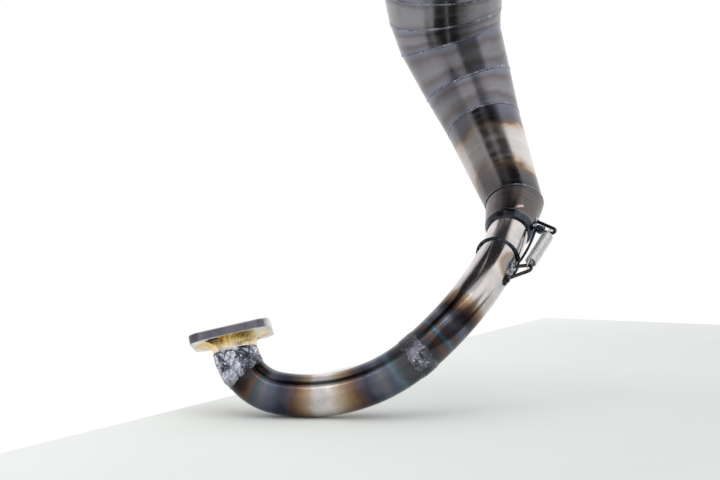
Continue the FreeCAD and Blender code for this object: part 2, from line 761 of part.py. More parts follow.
def make_spring():
    pull = (chamber_eye - header_eye).normalize()
    wire = size("spring_wire_diameter") / 2
    eye_radius = (size("spring_diameter") - size("spring_coil_wall")) / 2
    room = size("hook_bow_radius") - size("hook_wire_diameter") / 2 - wire
    inset = room - size("spring_eye_gap") + eye_radius
    low_eye = header_eye + pull * inset
    high_eye = chamber_eye - pull * inset
    half = (high_eye - low_eye).Length / 2
    frame = frame_from((low_eye + high_eye) * 0.5, pull, joint_frame.Rotation.multVec(Vector(0, 1, 0)))
    coil = 2 * (half - size("spring_shank"))
    cylinders = []
    for name, formula in (
        ("SpringCoilOuter", "Dimensions.spring_diameter / 2"),
        ("SpringCoilInner", "Dimensions.spring_diameter / 2 - Dimensions.spring_coil_wall"),
    ):
        cylinder = doc.addObject("Part::Cylinder", name)
        bind(cylinder, Radius=formula)
        cylinder.Height = coil
        cylinder.Placement = Placement(Vector(0, 0, -coil / 2), Rotation())
        cylinders.append(cylinder)
    sleeve = doc.addObject("Part::Cut", "SpringCoil")
    sleeve.Base, sleeve.Tool = cylinders
    shapes = [sleeve]
    overlap = size("spring_wire_diameter")
    for name, flip in (("High", 0), ("Low", 180)):
        path = doc.addObject("Part::Feature", f"SpringEye{name}Path")
        shank = size("spring_shank") + overlap
        path.Shape = eye_path(eye_radius, coil / 2 - overlap, shank, size("spring_eye_turn"))
        section = doc.addObject("Part::Circle", f"SpringEye{name}Section")
        bind(section, Radius="Dimensions.spring_wire_diameter / 2")
        section.Placement = Placement(Vector(-eye_radius, 0, coil / 2 - overlap), Rotation())
        eye = doc.addObject("Part::Sweep", f"SpringEye{name}")
        eye.Sections = [section]
        eye.Spine = (path, ["Edge1", "Edge2"])
        eye.Solid = True
        eye.Placement = Placement(Vector(), Rotation(Vector(0, 1, 0), flip))
        shapes.append(eye)
    spring = doc.addObject("Part::MultiFuse", "JointSpring")
    spring.Shapes = shapes
    return keep(spring, "joint_spring", frame)


# Keeper wire: a loop round the header with a strand up to the foot of the chamber's hook


def make_keeper_wire():
    frame = header_frame_at(size("keeper_station"))
    toward = joint_frame.multVec(Vector(size("bush_rim_diameter"), 0, 0))
    loop_frame = frame_from(frame.Base, axis_of(frame), toward - frame.Base)
    loop_frame = loop_frame * Placement(Vector(), Rotation(Vector(1, 0, 0), size("keeper_tilt")))
    radius = size("tube_diameter") / 2 + size("keeper_clearance") + size("keeper_wire_diameter") / 2
    loop = doc.addObject("Part::Torus", "KeeperLoop")
    wire_radius = "Dimensions.keeper_wire_diameter / 2"
    bind(loop, Radius1=f"Dimensions.tube_diameter / 2 + Dimensions.keeper_clearance + {wire_radius}")
    bind(loop, Radius2=wire_radius)
    loop.Placement = loop_frame
    start = loop_frame.multVec(Vector(radius, 0, 0))
    leg = size("chamber_hook_height") - size("chamber_hook_spread") / 2
    drop = (size("hook_wire_diameter") + size("keeper_wire_diameter")) / 2
    reach = size("bush_rim_diameter") / 2 + size("hook_wire_diameter")
    finish = joint_frame.multVec(Vector(reach, 0, leg - drop))
    strand = doc.addObject("Part::Cylinder", "KeeperStrand")
    bind(strand, Radius="Dimensions.keeper_strand_diameter / 2")
    strand.Height = (finish - start).Length
    strand.Placement = Placement(start, Rotation(Vector(0, 0, 1), finish - start))
    wire = doc.addObject("Part::Fuse", "KeeperWire")
    wire.Base = loop
    wire.Tool = strand
    return keep(wire, "keeper_wire")


# Stinger: a drawn tube whose inner end is turned down to seat in the last baffle cone


def make_stinger(frame):
    seat = "(Dimensions.stinger_insertion + Dimensions.stinger_weld_gap)"
    whole = "Dimensions.stinger_length"
    radius = "Dimensions.stinger_diameter / 2"
    steps = [
        ("StingerSeat", "Dimensions.stinger_seat_diameter / 2", seat, "0"),
        ("StingerFree", radius, f"{whole} - {seat}", seat),
        ("StingerBore", f"{radius} - Dimensions.stinger_wall", whole, "0"),
    ]
    cylinders = []
    for name, radius, length, start in steps:
        cylinder = doc.addObject("Part::Cylinder", name)
        bind(cylinder, Radius=radius, Height=length, **{"Placement.Base.z": start})
        cylinders.append(cylinder)
    outside = doc.addObject("Part::Fuse", "StingerOutside")
    outside.Base, outside.Tool, bore = cylinders
    return cut_from("Stinger", "stinger_tube", outside, bore, frame)


# Hanger bracket: a flat tab on edge along the belly, with two bolt holes


def make_bracket(belly_frame):
    body = doc.addObject("PartDesign::Body", "HangerBracket")
    outline = new_sketch(body, "BracketOutline", "XY_Plane")
    half = size("bracket_length") / 2
    height = size("bracket_height")
    radius = size("bracket_corner_radius")
    inset = half - radius
    shoulder = height - radius
    foot_left = Vector(-half, 0, 0)
    foot_right = Vector(half, 0, 0)
    base = outline.addGeometry(Part.LineSegment(foot_left, foot_right))
    right = outline.addGeometry(Part.LineSegment(foot_right, Vector(half, shoulder, 0)))
    circle = Part.Circle(Vector(inset, shoulder, 0), Vector(0, 0, 1), radius)
    right_corner = outline.addGeometry(Part.ArcOfCircle(circle, 0, math.pi / 2))
    top = outline.addGeometry(Part.LineSegment(Vector(inset, height, 0), Vector(-inset, height, 0)))
    circle = Part.Circle(Vector(-inset, shoulder, 0), Vector(0, 0, 1), radius)
    left_corner = outline.addGeometry(Part.ArcOfCircle(circle, math.pi / 2, math.pi))
    left = outline.addGeometry(Part.LineSegment(Vector(-half, shoulder, 0), foot_left))
    constrain(outline, "Coincident", base, 2, right, 1)
    constrain(outline, "Tangent", right, 2, right_corner, 1)
    constrain(outline, "Tangent", right_corner, 2, top, 1)
    constrain(outline, "Tangent", top, 2, left_corner, 1)
    constrain(outline, "Tangent", left_corner, 2, left, 1)
    constrain(outline, "Coincident", left, 2, base, 1)
    constrain(outline, "Vertical", right)
    constrain(outline, "Vertical", left)
    constrain(outline, "Symmetric", base, 1, base, 2, -1, 1)
    constrain(outline, "Equal", right_corner, left_corner)
    constrain(outline, "Horizontal", base)
    span = "Dimensions.bracket_length"
    constrain(outline, "DistanceX", base, 1, base, 2, 2 * half, name="length", formula=span)
    rise = "Dimensions.bracket_height"
    constrain(outline, "DistanceY", base, 2, top, 1, height, name="height", formula=rise)
    corner = "Dimensions.bracket_corner_radius"
    constrain(outline, "Radius", right_corner, radius, name="corner", formula=corner)
    for index, sign in enumerate((-1, 1)):
        x = sign * size("bracket_hole_pitch") / 2
        y = size("bracket_hole_height")
        hole_radius = size("bracket_hole_diameter") / 2
        name = f"hole_{index}"
        circle = add_circle(outline, x, y, hole_radius, name, "Dimensions.bracket_hole_diameter")
        pitch = f"{sign} * Dimensions.bracket_hole_pitch / 2"
        constrain(outline, "DistanceX", -1, 1, circle, 3, x, name=f"{name}_x", formula=pitch)
        level = "Dimensions.bracket_hole_height"
        constrain(outline, "DistanceY", -1, 1, circle, 3, y, name=f"{name}_y", formula=level)
    pad = body.newObject("PartDesign::Pad", "BracketPad")
    pad.Profile = outline
    pad.Midplane = True
    bind(pad, Length="Dimensions.bracket_thickness")
    seat = rolled(straight(belly_frame, size("belly_length") / 2), size("bracket_turn"))
    axis = axis_of(seat)
    radial = side_of(seat)
    foot = seat.Base + radial * (size("belly_diameter") / 2)
    return keep(body, "hanger_bracket", Placement(foot, Rotation(axis, radial, axis.cross(radial), "ZXY")))


make_flange()
make_flange_weld()
first_bends = [("first_bend_radius", "first_bend_angle"), ("second_bend_radius", "second_bend_angle")]
make_bent_tube("HeaderBend", "header_bend_tube", bend_start, first_bends)
make_header_weld()
upper_bends = [("upper_bend_radius", "upper_bend_angle")]
upper_tail = ["upper_straight", "spigot_depth"]
make_bent_tube("HeaderUpper", "header_upper_tube", upper_start, upper_bends, upper_tail)
make_hooks()
make_spring()
make_keeper_wire()

seams, belly_heading = chamber_seams()
make_inlet_bush(seams[0])
for number in range(1, 7):
    make_mitred_cone(f"DiffuserCone{number}", f"diffuser_cone_{number}", seams[number - 1], seams[number])

belly_frame = frame_from(seams[-1]["centre"], belly_heading, Vector(1, 0, 0))
belly_radius = "Dimensions.belly_diameter / 2"
belly_bore = f"{belly_radius} - Dimensions.sheet_wall"
make_tube("Belly", "belly_shell", belly_frame, belly_radius, belly_bore, "Dimensions.belly_length")
make_bracket(belly_frame)

stinger_socket = "(Dimensions.stinger_seat_diameter / 2 + Dimensions.stinger_fit + Dimensions.sheet_wall)"
baffle_radii = [belly_radius]
baffle_radii += [f"Dimensions.baffle_{number}_diameter / 2" for number in (1, 2)]
baffle_radii.append(stinger_socket)
baffle_frame = straight(belly_frame, size("belly_length"))
for number in range(1, 4):
    length = f"baffle_{number}_length"
    make_sheet_cone(
        f"BaffleCone{number}",
        f"baffle_cone_{number}",
        baffle_frame,
        baffle_radii[number - 1],
        baffle_radii[number],
        f"Dimensions.{length}",
    )
    baffle_frame = straight(baffle_frame, size(length))
make_stinger(straight(baffle_frame, -size("stinger_insertion")))

doc.recompute()
for item in doc.Objects:
    if "Invalid" in item.State or "Error" in item.State:
        raise RuntimeError(f"{item.Name} failed: {item.State}")
for piece in parts:
    if piece.Shape.isNull() or not piece.Shape.isValid():
        raise RuntimeError(f"{piece.Label} has no valid shape")

os.makedirs("parts", exist_ok=True)
for piece in parts:
    piece.Shape.exportStep(f"parts/{piece.Label}.step")
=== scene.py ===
import math

import bpy
import numpy as np
from mathutils import Matrix, Vector, noise


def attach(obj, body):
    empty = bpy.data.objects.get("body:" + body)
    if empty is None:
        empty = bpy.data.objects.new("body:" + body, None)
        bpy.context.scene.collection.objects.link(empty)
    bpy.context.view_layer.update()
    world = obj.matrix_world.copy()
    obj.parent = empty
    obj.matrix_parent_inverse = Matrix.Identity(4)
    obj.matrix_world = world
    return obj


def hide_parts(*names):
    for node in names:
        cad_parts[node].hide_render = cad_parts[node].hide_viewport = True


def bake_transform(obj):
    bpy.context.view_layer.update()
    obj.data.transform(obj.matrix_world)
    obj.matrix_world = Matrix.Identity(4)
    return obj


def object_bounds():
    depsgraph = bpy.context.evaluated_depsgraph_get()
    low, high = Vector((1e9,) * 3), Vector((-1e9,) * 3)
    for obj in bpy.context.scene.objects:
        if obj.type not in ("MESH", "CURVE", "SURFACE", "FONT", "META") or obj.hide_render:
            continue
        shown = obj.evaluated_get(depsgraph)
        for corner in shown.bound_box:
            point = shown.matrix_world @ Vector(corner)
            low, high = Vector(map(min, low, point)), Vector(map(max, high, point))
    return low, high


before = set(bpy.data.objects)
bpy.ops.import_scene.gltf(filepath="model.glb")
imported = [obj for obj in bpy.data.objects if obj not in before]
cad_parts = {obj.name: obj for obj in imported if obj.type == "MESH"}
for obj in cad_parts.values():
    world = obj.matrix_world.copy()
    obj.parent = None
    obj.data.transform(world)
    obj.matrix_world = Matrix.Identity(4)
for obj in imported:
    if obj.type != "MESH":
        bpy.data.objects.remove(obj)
cad_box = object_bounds()
MM = 0.001

# The route of the pipe, in millimetres and degrees, as the solids have it. A bend is a radius and an angle.
TILT_LEFT, TILT_BACK = 13.4, 14.0
PLATE_THICKNESS, PLATE_LENGTH = 6.0, 54.0
NECK_LENGTH = 7.5
TUBE_RADIUS = 14.0
HEADER_ROLL = 6.0
FIRST_BEND = (37.5, 65.9)
SECOND_BEND = (110.0, 51.3)
UPPER_ROLL = -54.5
UPPER_BEND = (138.9, 47.6)
UPPER_STRAIGHT = 7.0
HOOK_TURN = -153.1
BUSH_RISE, BUSH_SWING, BUSH_LENGTH = 38.9, 16.05, 28.4
BUSH_RIM_RADIUS, BUSH_END_RADIUS = 17.0, 20.25
CONES = [  # length, rise and swing of each cone's axis, and the radius at its far end
    (78.6, 50.3, -19.7, 28.0),
    (34.4, 64.9, -48.7, 33.65),
    (36.4, 67.8, -95.4, 38.75),
    (19.9, 67.6, -143.7, 42.3),
    (22.0, 64.0, -165.0, 45.0),
    (52.0, 60.0, 180.0, 52.0),
]
BELLY_LENGTH = 60.0
BAFFLES = [(48.0, 39.0), (50.0, 25.0), (46.0, 11.65)]  # length, and radius at the far end


def frame_from(origin, along, toward):
    """A frame whose Z runs along the pipe and whose X leans towards a given way."""
    across = along.cross(toward).normalized()
    side = across.cross(along).normalized()
    turn = Matrix((side, across, along)).transposed()
    return Matrix.Translation(origin) @ turn.to_4x4()


def straight(place, length):
    return place @ Matrix.Translation((0, 0, length))


def rolled(place, angle):
    return place @ Matrix.Rotation(math.radians(angle), 4, "Z")


def bent(place, radius, angle):
    turn = math.radians(angle)
    step = Matrix.Translation((radius * (1 - math.cos(turn)), 0, radius * math.sin(turn)))
    return place @ step @ Matrix.Rotation(turn, 4, "Y")


def heading(rise, swing):
    level = math.cos(math.radians(rise))
    turn = math.radians(swing)
    return Vector((level * math.sin(turn), level * math.cos(turn), math.sin(math.radians(rise))))


def way(place, column):
    return place.to_3x3().col[column].copy()


left, back = math.radians(TILT_LEFT), math.radians(TILT_BACK)
face_normal = Vector((-math.sin(left) * math.cos(back), math.sin(back), math.cos(left) * math.cos(back)))
flange_frame = frame_from(Vector(), -face_normal, Vector((1, 0, 0)))
bend_start = rolled(straight(flange_frame, PLATE_THICKNESS + NECK_LENGTH), HEADER_ROLL)
bend_middle = bent(bend_start, *FIRST_BEND)
bend_end = bent(bend_middle, *SECOND_BEND)
upper_start = rolled(bend_end, UPPER_ROLL)
upper_end = bent(upper_start, *UPPER_BEND)
rim_frame = straight(upper_end, UPPER_STRAIGHT)
joint_frame = rolled(rim_frame, HOOK_TURN)
bush_frame = frame_from(rim_frame.translation, heading(BUSH_RISE, BUSH_SWING), way(joint_frame, 0))


def chamber_seams():
    """Each seam's centre, normal and radius, from the end of the bush to the mouth of the stinger."""
    axes = [heading(BUSH_RISE, BUSH_SWING)] + [heading(rise, swing) for _, rise, swing, _ in CONES]
    axes += [axes[-1]] * (2 + len(BAFFLES))
    lengths = [length for length, *_ in CONES] + [BELLY_LENGTH] + [length for length, _ in BAFFLES]
    radii = [BUSH_END_RADIUS] + [radius for *_, radius in CONES] + [CONES[-1][-1]]
    radii += [radius for _, radius in BAFFLES]
    centre = straight(bush_frame, BUSH_LENGTH).translation
    rows = []
    for index, radius in enumerate(radii):
        rows.append((centre.copy(), (axes[index] + axes[index + 1]).normalized(), radius))
        if index < len(lengths):
            centre = centre + axes[index + 1] * lengths[index]
    return rows


seams = chamber_seams()

# The slip joint: the spring's two eyes, where the hooks' feet stand, and the keeper wire's loop
HOOK_BOW, HOOK_WIRE = 2.8, 1.2
CHAMBER_EYE_SPOT, HEADER_EYE_SPOT = Vector((29.2, 0, 1.0)), Vector((20.6, 0, -40.0))
CHAMBER_EYE, HEADER_EYE = joint_frame @ CHAMBER_EYE_SPOT, joint_frame @ HEADER_EYE_SPOT
HEADER_FEET = (36.5, 47.5)
CHAMBER_FEET = (2.15, 9.65)
KEEPER_STATION, KEEPER_TILT, KEEPER_WIRE = 31.0, -14.0, 0.9


def below_rim(reach):
    """The frame on the upper tube's centre line, a given length below its rim."""
    turn = UPPER_BEND[1] - math.degrees((reach - UPPER_STRAIGHT) / UPPER_BEND[0])
    return bent(upper_start, UPPER_BEND[0], turn)


def header_foot(reach):
    """Where a foot of the header's hook meets the tube, with the ways out of the wall and along it."""
    place = below_rim(reach)
    along = way(place, 2)
    out = HEADER_EYE - place.translation
    out = (out - along * out.dot(along)).normalized()
    return place.translation + out * TUBE_RADIUS, out, along


def chamber_foot(height):
    """Where a foot of the chamber's hook meets the bush, with the ways out of the wall and along it."""
    radius = BUSH_RIM_RADIUS + (BUSH_END_RADIUS - BUSH_RIM_RADIUS) * height / BUSH_LENGTH
    return bush_frame @ Vector((radius, 0, height)), way(bush_frame, 0), way(bush_frame, 2)


# Meshes


def mesh_piece(name, vertices, faces, body, material, fields=None):
    """A smooth-shaded mesh from points in millimetres, which rides on a body if one is given.

    fields are named rows of numbers, one for each point.
    """
    mesh = bpy.data.meshes.new(name)
    mesh.from_pydata([tuple(Vector(v) * MM) for v in vertices], [], faces)
    for field, values in (fields or {}).items():
        mesh.attributes.new(field, "FLOAT", "POINT").data.foreach_set("value", values)
    mesh.validate()
    mesh.polygons.foreach_set("use_smooth", [True] * len(mesh.polygons))
    piece = bpy.data.objects.new(name, mesh)
    bpy.context.scene.collection.objects.link(piece)
    mesh.materials.append(material)
    if body:
        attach(piece, body)
    return piece


def skin(rings, looped, capped=True):
    """Vertices and quads over rings of equal length. A looped skin joins its last ring to its first."""
    count = len(rings[0])
    vertices = [point for ring in rings for point in ring]
    faces = []
    spans = len(rings) if looped else len(rings) - 1
    for row in range(spans):
        low = row * count
        high = (row + 1) % len(rings) * count
        for k in range(count):
            following = (k + 1) % count
            faces.append((low + k, low + following, high + following, high + k))
    if capped and not looped:
        faces.append(tuple(reversed(range(count))))
        faces.append(tuple(range(len(vertices) - count, len(vertices))))
    return vertices, faces


def wire_rings(points, radius, sides):
    """Rings of a round wire along a row of points, with as little twist as can be."""
    last = len(points) - 1
    rings = []
    side = None
    for k, point in enumerate(points):
        along = (points[min(k + 1, last)] - points[max(k - 1, 0)]).normalized()
        if side is None:
            side = along.orthogonal()
        side = (side - along * side.dot(along)).normalized()
        across = along.cross(side)
        ring = []
        for n in range(sides):
            turn = 2 * math.pi * n / sides
            ring.append(point + (side * math.cos(turn) + across * math.sin(turn)) * radius)
        rings.append(ring)
    return rings


def smooth_path(controls, steps):
    """Points on a curve that passes through the controls."""
    last = len(controls) - 1
    points = []
    for k in range(last):
        a, b, c, d = (controls[min(max(k + n, 0), last)] for n in (-1, 0, 1, 2))
        for step in range(steps):
            t = step / steps
            bow = (c - a) * t + (a * 2 - b * 5 + c * 4 - d) * t * t + (b * 3 - a - c * 3 + d) * t**3
            points.append(b + bow * 0.5)
    points.append(controls[-1])
    return points


DRIFT_SHIFTS = (Vector((9.3, -1.5, -7.9)), Vector(), Vector((6.3, 11.1, -3.1)))


def lumps(point, scale):
    """Weld relief from 0 to 1 at a point: rounded lumps about one over the scale wide, with creases between.

    The drift is made of three plain noises, because noise_vector varies from run to run.
    """
    drift = Vector([noise.noise(point * scale * 0.7 + shift) for shift in DRIFT_SHIFTS]) * 0.35
    near, further = noise.voronoi(point * scale + drift)[0][:2]
    dome = 1 - (1 - min(1.0, (further - near) * 1.7)) ** 2
    fine = noise.noise(point * scale * 3.1 + Vector((7, 3, 5)))
    broad = noise.noise(point * scale * 0.45 + Vector((2, 9, 4)))
    return min(max(0.12 + 0.6 * dome + 0.16 * fine + 0.3 * broad, 0.0), 1.0)


# Materials


def tone(red, green, blue):
    """A linear colour from display values of 0 to 255."""
    shares = [value / 255 for value in (red, green, blue)]
    linear = [s / 12.92 if s <= 0.04045 else ((s + 0.055) / 1.055) ** 2.4 for s in shares]
    return (*linear, 1.0)


class Paint:
    """A material of one principled shader, with short ways to add nodes in front of it."""

    def __init__(self, name, metallic=1.0, roughness=0.3):
        self.material = bpy.data.materials.new(name)
        self.material.use_nodes = True
        self.tree = self.material.node_tree
        self.shader = self.tree.nodes["Principled BSDF"]
        self.shader.inputs["Metallic"].default_value = metallic
        self.shader.inputs["Roughness"].default_value = roughness
        self.place = self.add("ShaderNodeTexCoord").outputs["Object"]

    def add(self, kind, **settings):
        node = self.tree.nodes.new(kind)
        for key, value in settings.items():
            setattr(node, key, value)
        return node

    def feed(self, socket, value):
        if isinstance(value, bpy.types.NodeSocket):
            self.tree.links.new(value, socket)
        else:
            socket.default_value = value

    def math(self, operation, first, second=0.0):
        node = self.add("ShaderNodeMath", operation=operation)
        self.feed(node.inputs[0], first)
        self.feed(node.inputs[1], second)
        return node.outputs[0]

    def vector(self, operation, first, second):
        node = self.add("ShaderNodeVectorMath", operation=operation)
        self.feed(node.inputs[0], first)
        self.feed(node.inputs[1], second)
        return node.outputs["Value" if operation in ("DOT_PRODUCT", "DISTANCE") else "Vector"]

    def clamp(self, value, low, high):
        return self.math("MINIMUM", self.math("MAXIMUM", value, low), high)

    def stretched(self, place, ways, scales):
        """Coordinates along three ways of the object, each with its own scale."""
        node = self.add("ShaderNodeCombineXYZ")
        for k, (direction, scale) in enumerate(zip(ways, scales)):
            share = self.vector("DOT_PRODUCT", place, tuple(direction))
            self.feed(node.inputs[k], self.math("MULTIPLY", share, scale))
        return node.outputs[0]

    def noise(self, scale, detail=4.0, place=None, rough=0.55):
        node = self.add("ShaderNodeTexNoise")
        self.feed(node.inputs["Vector"], place or self.place)
        node.inputs["Scale"].default_value = scale
        node.inputs["Detail"].default_value = detail
        node.inputs["Roughness"].default_value = rough
        return node.outputs["Fac"]

    def ramp(self, value, stops):
        """A colour ramp. Each stop is a place from 0 to 1 and a colour, or a grey as a number."""
        node = self.add("ShaderNodeValToRGB")
        band = node.color_ramp
        while len(band.elements) < len(stops):
            band.elements.new(0.5)
        for element, (spot, colour) in zip(band.elements, stops):
            element.position = spot
            element.color = colour if isinstance(colour, tuple) else (colour, colour, colour, 1)
        self.feed(node.inputs["Fac"], value)
        return node.outputs["Color"]

    def mix(self, share, first, second, blend="MIX"):
        node = self.add("ShaderNodeMix", data_type="RGBA", blend_type=blend)
        self.feed(node.inputs[0], share)
        self.feed(node.inputs[6], first)
        self.feed(node.inputs[7], second)
        return node.outputs[2]

    def bump(self, height, distance, strength=1.0):
        node = self.add("ShaderNodeBump")
        node.inputs["Distance"].default_value = distance
        node.inputs["Strength"].default_value = strength
        self.feed(node.inputs["Height"], height)
        if self.shader.inputs["Normal"].is_linked:
            self.feed(node.inputs["Normal"], self.shader.inputs["Normal"].links[0].from_socket)
        self.feed(self.shader.inputs["Normal"], node.outputs["Normal"])

    def finish(self, colour, roughness):
        self.feed(self.shader.inputs["Base Color"], colour)
        self.feed(self.shader.inputs["Roughness"], roughness)
        return self.material

    def along_arc(self, place, radius, angle):
        """How far along an arc of the pipe a point lies, in millimetres."""
        centre = (place @ Vector((radius, 0, 0))) * MM
        offset = self.vector("SUBTRACT", self.place, tuple(centre))
        out = self.vector("DOT_PRODUCT", offset, tuple(-way(place, 0)))
        onward = self.vector("DOT_PRODUCT", offset, tuple(way(place, 2)))
        turn = self.clamp(self.math("ARCTAN2", onward, out), 0.0, math.radians(angle))
        return self.math("MULTIPLY", turn, radius)

    def above(self, centre, normal):
        """The signed distance from a plane, in millimetres."""
        offset = self.vector("SUBTRACT", self.place, tuple(centre * MM))
        return self.math("DIVIDE", self.vector("DOT_PRODUCT", offset, tuple(normal)), MM)


SILVER = tone(228, 222, 220)
STRAW = tone(186, 164, 138)
TAN = tone(146, 118, 94)
BROWN = tone(104, 78, 64)
DEEP_BROWN = tone(60, 46, 42)
PURPLE = tone(84, 70, 80)
DARK_BLUE = tone(58, 60, 74)
BLUE = tone(88, 94, 112)
PALE_BLUE = tone(100, 118, 130)
TEAL = tone(76, 91, 99)
SLATE = tone(112, 112, 118)
DARK_SLATE = tone(72, 71, 76)
SOOT = tone(38, 35, 34)

SCORCH_REACH = 15.0
SCORCH = [
    (0.0, SOOT), (0.2, SLATE), (0.3, tone(140, 140, 146)), (0.56, tone(156, 151, 148)),
    (0.7, tone(164, 136, 114)), (0.84, tone(188, 170, 152)), (1.0, SILVER),
]


def tinted_tube(paint, station, length, bands, patches=()):
    """Polished tube with heat bands: each band is a station in millimetres and a colour.

    patches are the middles of scorched spots, where something was welded on.
    """
    waver = paint.math("SUBTRACT", paint.noise(48, 3), 0.5)
    speck = paint.math("SUBTRACT", paint.noise(300, 4), 0.5)
    moved = paint.math("ADD", station, paint.math("MULTIPLY", waver, 9.0))
    moved = paint.math("ADD", moved, paint.math("MULTIPLY", speck, 2.0))
    colour = paint.ramp(paint.math("DIVIDE", moved, length), [(s / length, c) for s, c in bands])
    faded = paint.ramp(paint.noise(55, 4), [(0.44, 0.0), (0.6, 0.5)])
    colour = paint.mix(faded, colour, paint.mix(0.5, colour, SLATE))
    for middle in patches:
        gap = paint.vector("DISTANCE", paint.place, tuple(middle * MM))
        gap = paint.math("ADD", paint.math("DIVIDE", gap, MM), paint.math("MULTIPLY", waver, 5.0))
        gap = paint.math("DIVIDE", gap, SCORCH_REACH)
        share = paint.ramp(gap, [(0.0, 1.0), (0.75, 0.9), (1.0, 0.0)])
        colour = paint.mix(share, colour, paint.ramp(gap, SCORCH))
    mottle = paint.ramp(paint.noise(70, 6), [(0.3, 0.88), (0.7, 1.0)])
    colour = paint.mix(1.0, colour, mottle, "MULTIPLY")
    rough = paint.ramp(paint.noise(45, 5), [(0.3, 0.13), (0.7, 0.24)])
    paint.bump(paint.noise(700, 3), 0.00001, 0.2)
    paint.bump(paint.noise(110, 3), 0.0002, 0.07)
    return paint.finish(colour, rough)


def bend_tube_material():
    paint = Paint("heat_tinted_bend")
    first = paint.along_arc(bend_start, *FIRST_BEND)
    second = paint.along_arc(bend_middle, *SECOND_BEND)
    length = sum(radius * math.radians(angle) for radius, angle in (FIRST_BEND, SECOND_BEND))
    bands = [
        (0, SOOT), (20, SOOT), (25, DEEP_BROWN), (28, BROWN), (31, TEAL), (36, SLATE), (41, BLUE),
        (47, DARK_BLUE), (50, DARK_BLUE), (53, PURPLE), (57, BROWN), (61, TAN), (66, STRAW), (70, SILVER),
        (79, SILVER), (86, STRAW), (92, TAN), (97, BROWN), (101, PURPLE), (105, DARK_BLUE), (110, BLUE),
        (115, SLATE), (120, BLUE), (123.5, PALE_BLUE), (126, TEAL), (128.5, DARK_SLATE), (141, DARK_SLATE),
    ]
    return tinted_tube(paint, paint.math("ADD", first, second), length, bands)


def upper_tube_material():
    paint = Paint("heat_tinted_upper_tube")
    bend = paint.along_arc(upper_start, *UPPER_BEND)
    length = UPPER_BEND[0] * math.radians(UPPER_BEND[1])
    bands = [
        (0, DARK_SLATE), (11, DARK_SLATE), (14, BROWN), (16.5, TEAL), (18, PALE_BLUE), (19.5, TEAL),
        (21.5, BROWN), (24, BLUE), (29, SLATE), (32.5, DARK_BLUE), (36, DEEP_BROWN), (39.5, BROWN), (43, TAN),
        (46, STRAW), (50, SILVER), (88, SILVER), (115, SILVER),
    ]
    middle = sum(HEADER_FEET) / len(HEADER_FEET)
    return tinted_tube(paint, bend, length, bands, [header_foot(middle - 3.0)[0]])


def weld_material(name, palette, scale, depth, cracks=0.0, soot=None, glint_cutoff=0.7, bright=None):
    """Rough weld metal in patches, lighter on its lumps as a painted highlight, with dark cracks and bright
    painted glints.

    soot is where along the bead soot begins and where it covers all.
    A higher grit leaves fewer painted glints.
    bright lists the middles and reaches in millimetres of painted highlights; when it is given, the painted
    glints fall only there, with a pale painted sheen in patches.
    """
    paint = Paint(name)
    relief = paint.add("ShaderNodeAttribute", attribute_name="relief").outputs["Fac"]
    # Painted highlight: higher relief shifts the colour along the palette, towards its lighter stops.
    lump_highlight = paint.math("MULTIPLY", paint.math("SUBTRACT", relief, 0.5), 0.3)
    colour = paint.ramp(paint.math("ADD", paint.noise(scale, 6, rough=0.65), lump_highlight), palette)
    if cracks:
        ridge = paint.math("ABSOLUTE", paint.math("SUBTRACT", paint.noise(scale * 1.3, 5), 0.5))
        ridge = paint.ramp(ridge, [(0.008, 1.0), (0.04, 0.0)])
        patchy = paint.ramp(paint.noise(scale * 0.6, 3), [(0.44, 0.0), (0.54, cracks)])
        colour = paint.mix(paint.math("MULTIPLY", ridge, patchy), colour, SOOT)
    if soot:
        share = paint.add("ShaderNodeAttribute", attribute_name="share").outputs["Fac"]
        drift = paint.math("SUBTRACT", paint.noise(scale * 0.8, 5, rough=0.7), 0.5)
        share = paint.math("ADD", share, paint.math("MULTIPLY", drift, 0.9))
        colour = paint.mix(paint.ramp(share, [(soot[0], 0.0), (soot[1], 0.92)]), colour, SOOT)
    # Painted glints: small bright spots over the weld.
    glints = paint.ramp(paint.noise(scale * 6, 2), [(glint_cutoff, 0.0), (glint_cutoff + 0.05, 1.0)])
    # Painted highlights: when bright places are given, the glints stay there and a pale painted sheen is laid
    # in patches.
    if bright:
        near = 0.0
        for middle, reach in bright:
            gap = paint.math("DIVIDE", paint.vector("DISTANCE", paint.place, tuple(middle * MM)), reach * MM)
            near = paint.math("MAXIMUM", near, paint.ramp(gap, [(0.1, 1.0), (1.0, 0.0)]))
        glints = paint.math("MULTIPLY", glints, near)
        patchy = paint.ramp(paint.noise(scale * 2.5, 4), [(0.42, 0.0), (0.6, 0.6)])
        colour = paint.mix(paint.math("MULTIPLY", near, patchy), colour, tone(176, 178, 190))
    colour = paint.mix(glints, colour, tone(228, 228, 236))
    rough = paint.ramp(paint.noise(scale * 1.5, 4), [(0.3, 0.18), (0.7, 0.4)])
    paint.bump(paint.noise(scale * 3, 5, rough=0.65), depth, 0.5)
    return paint.finish(colour, rough)


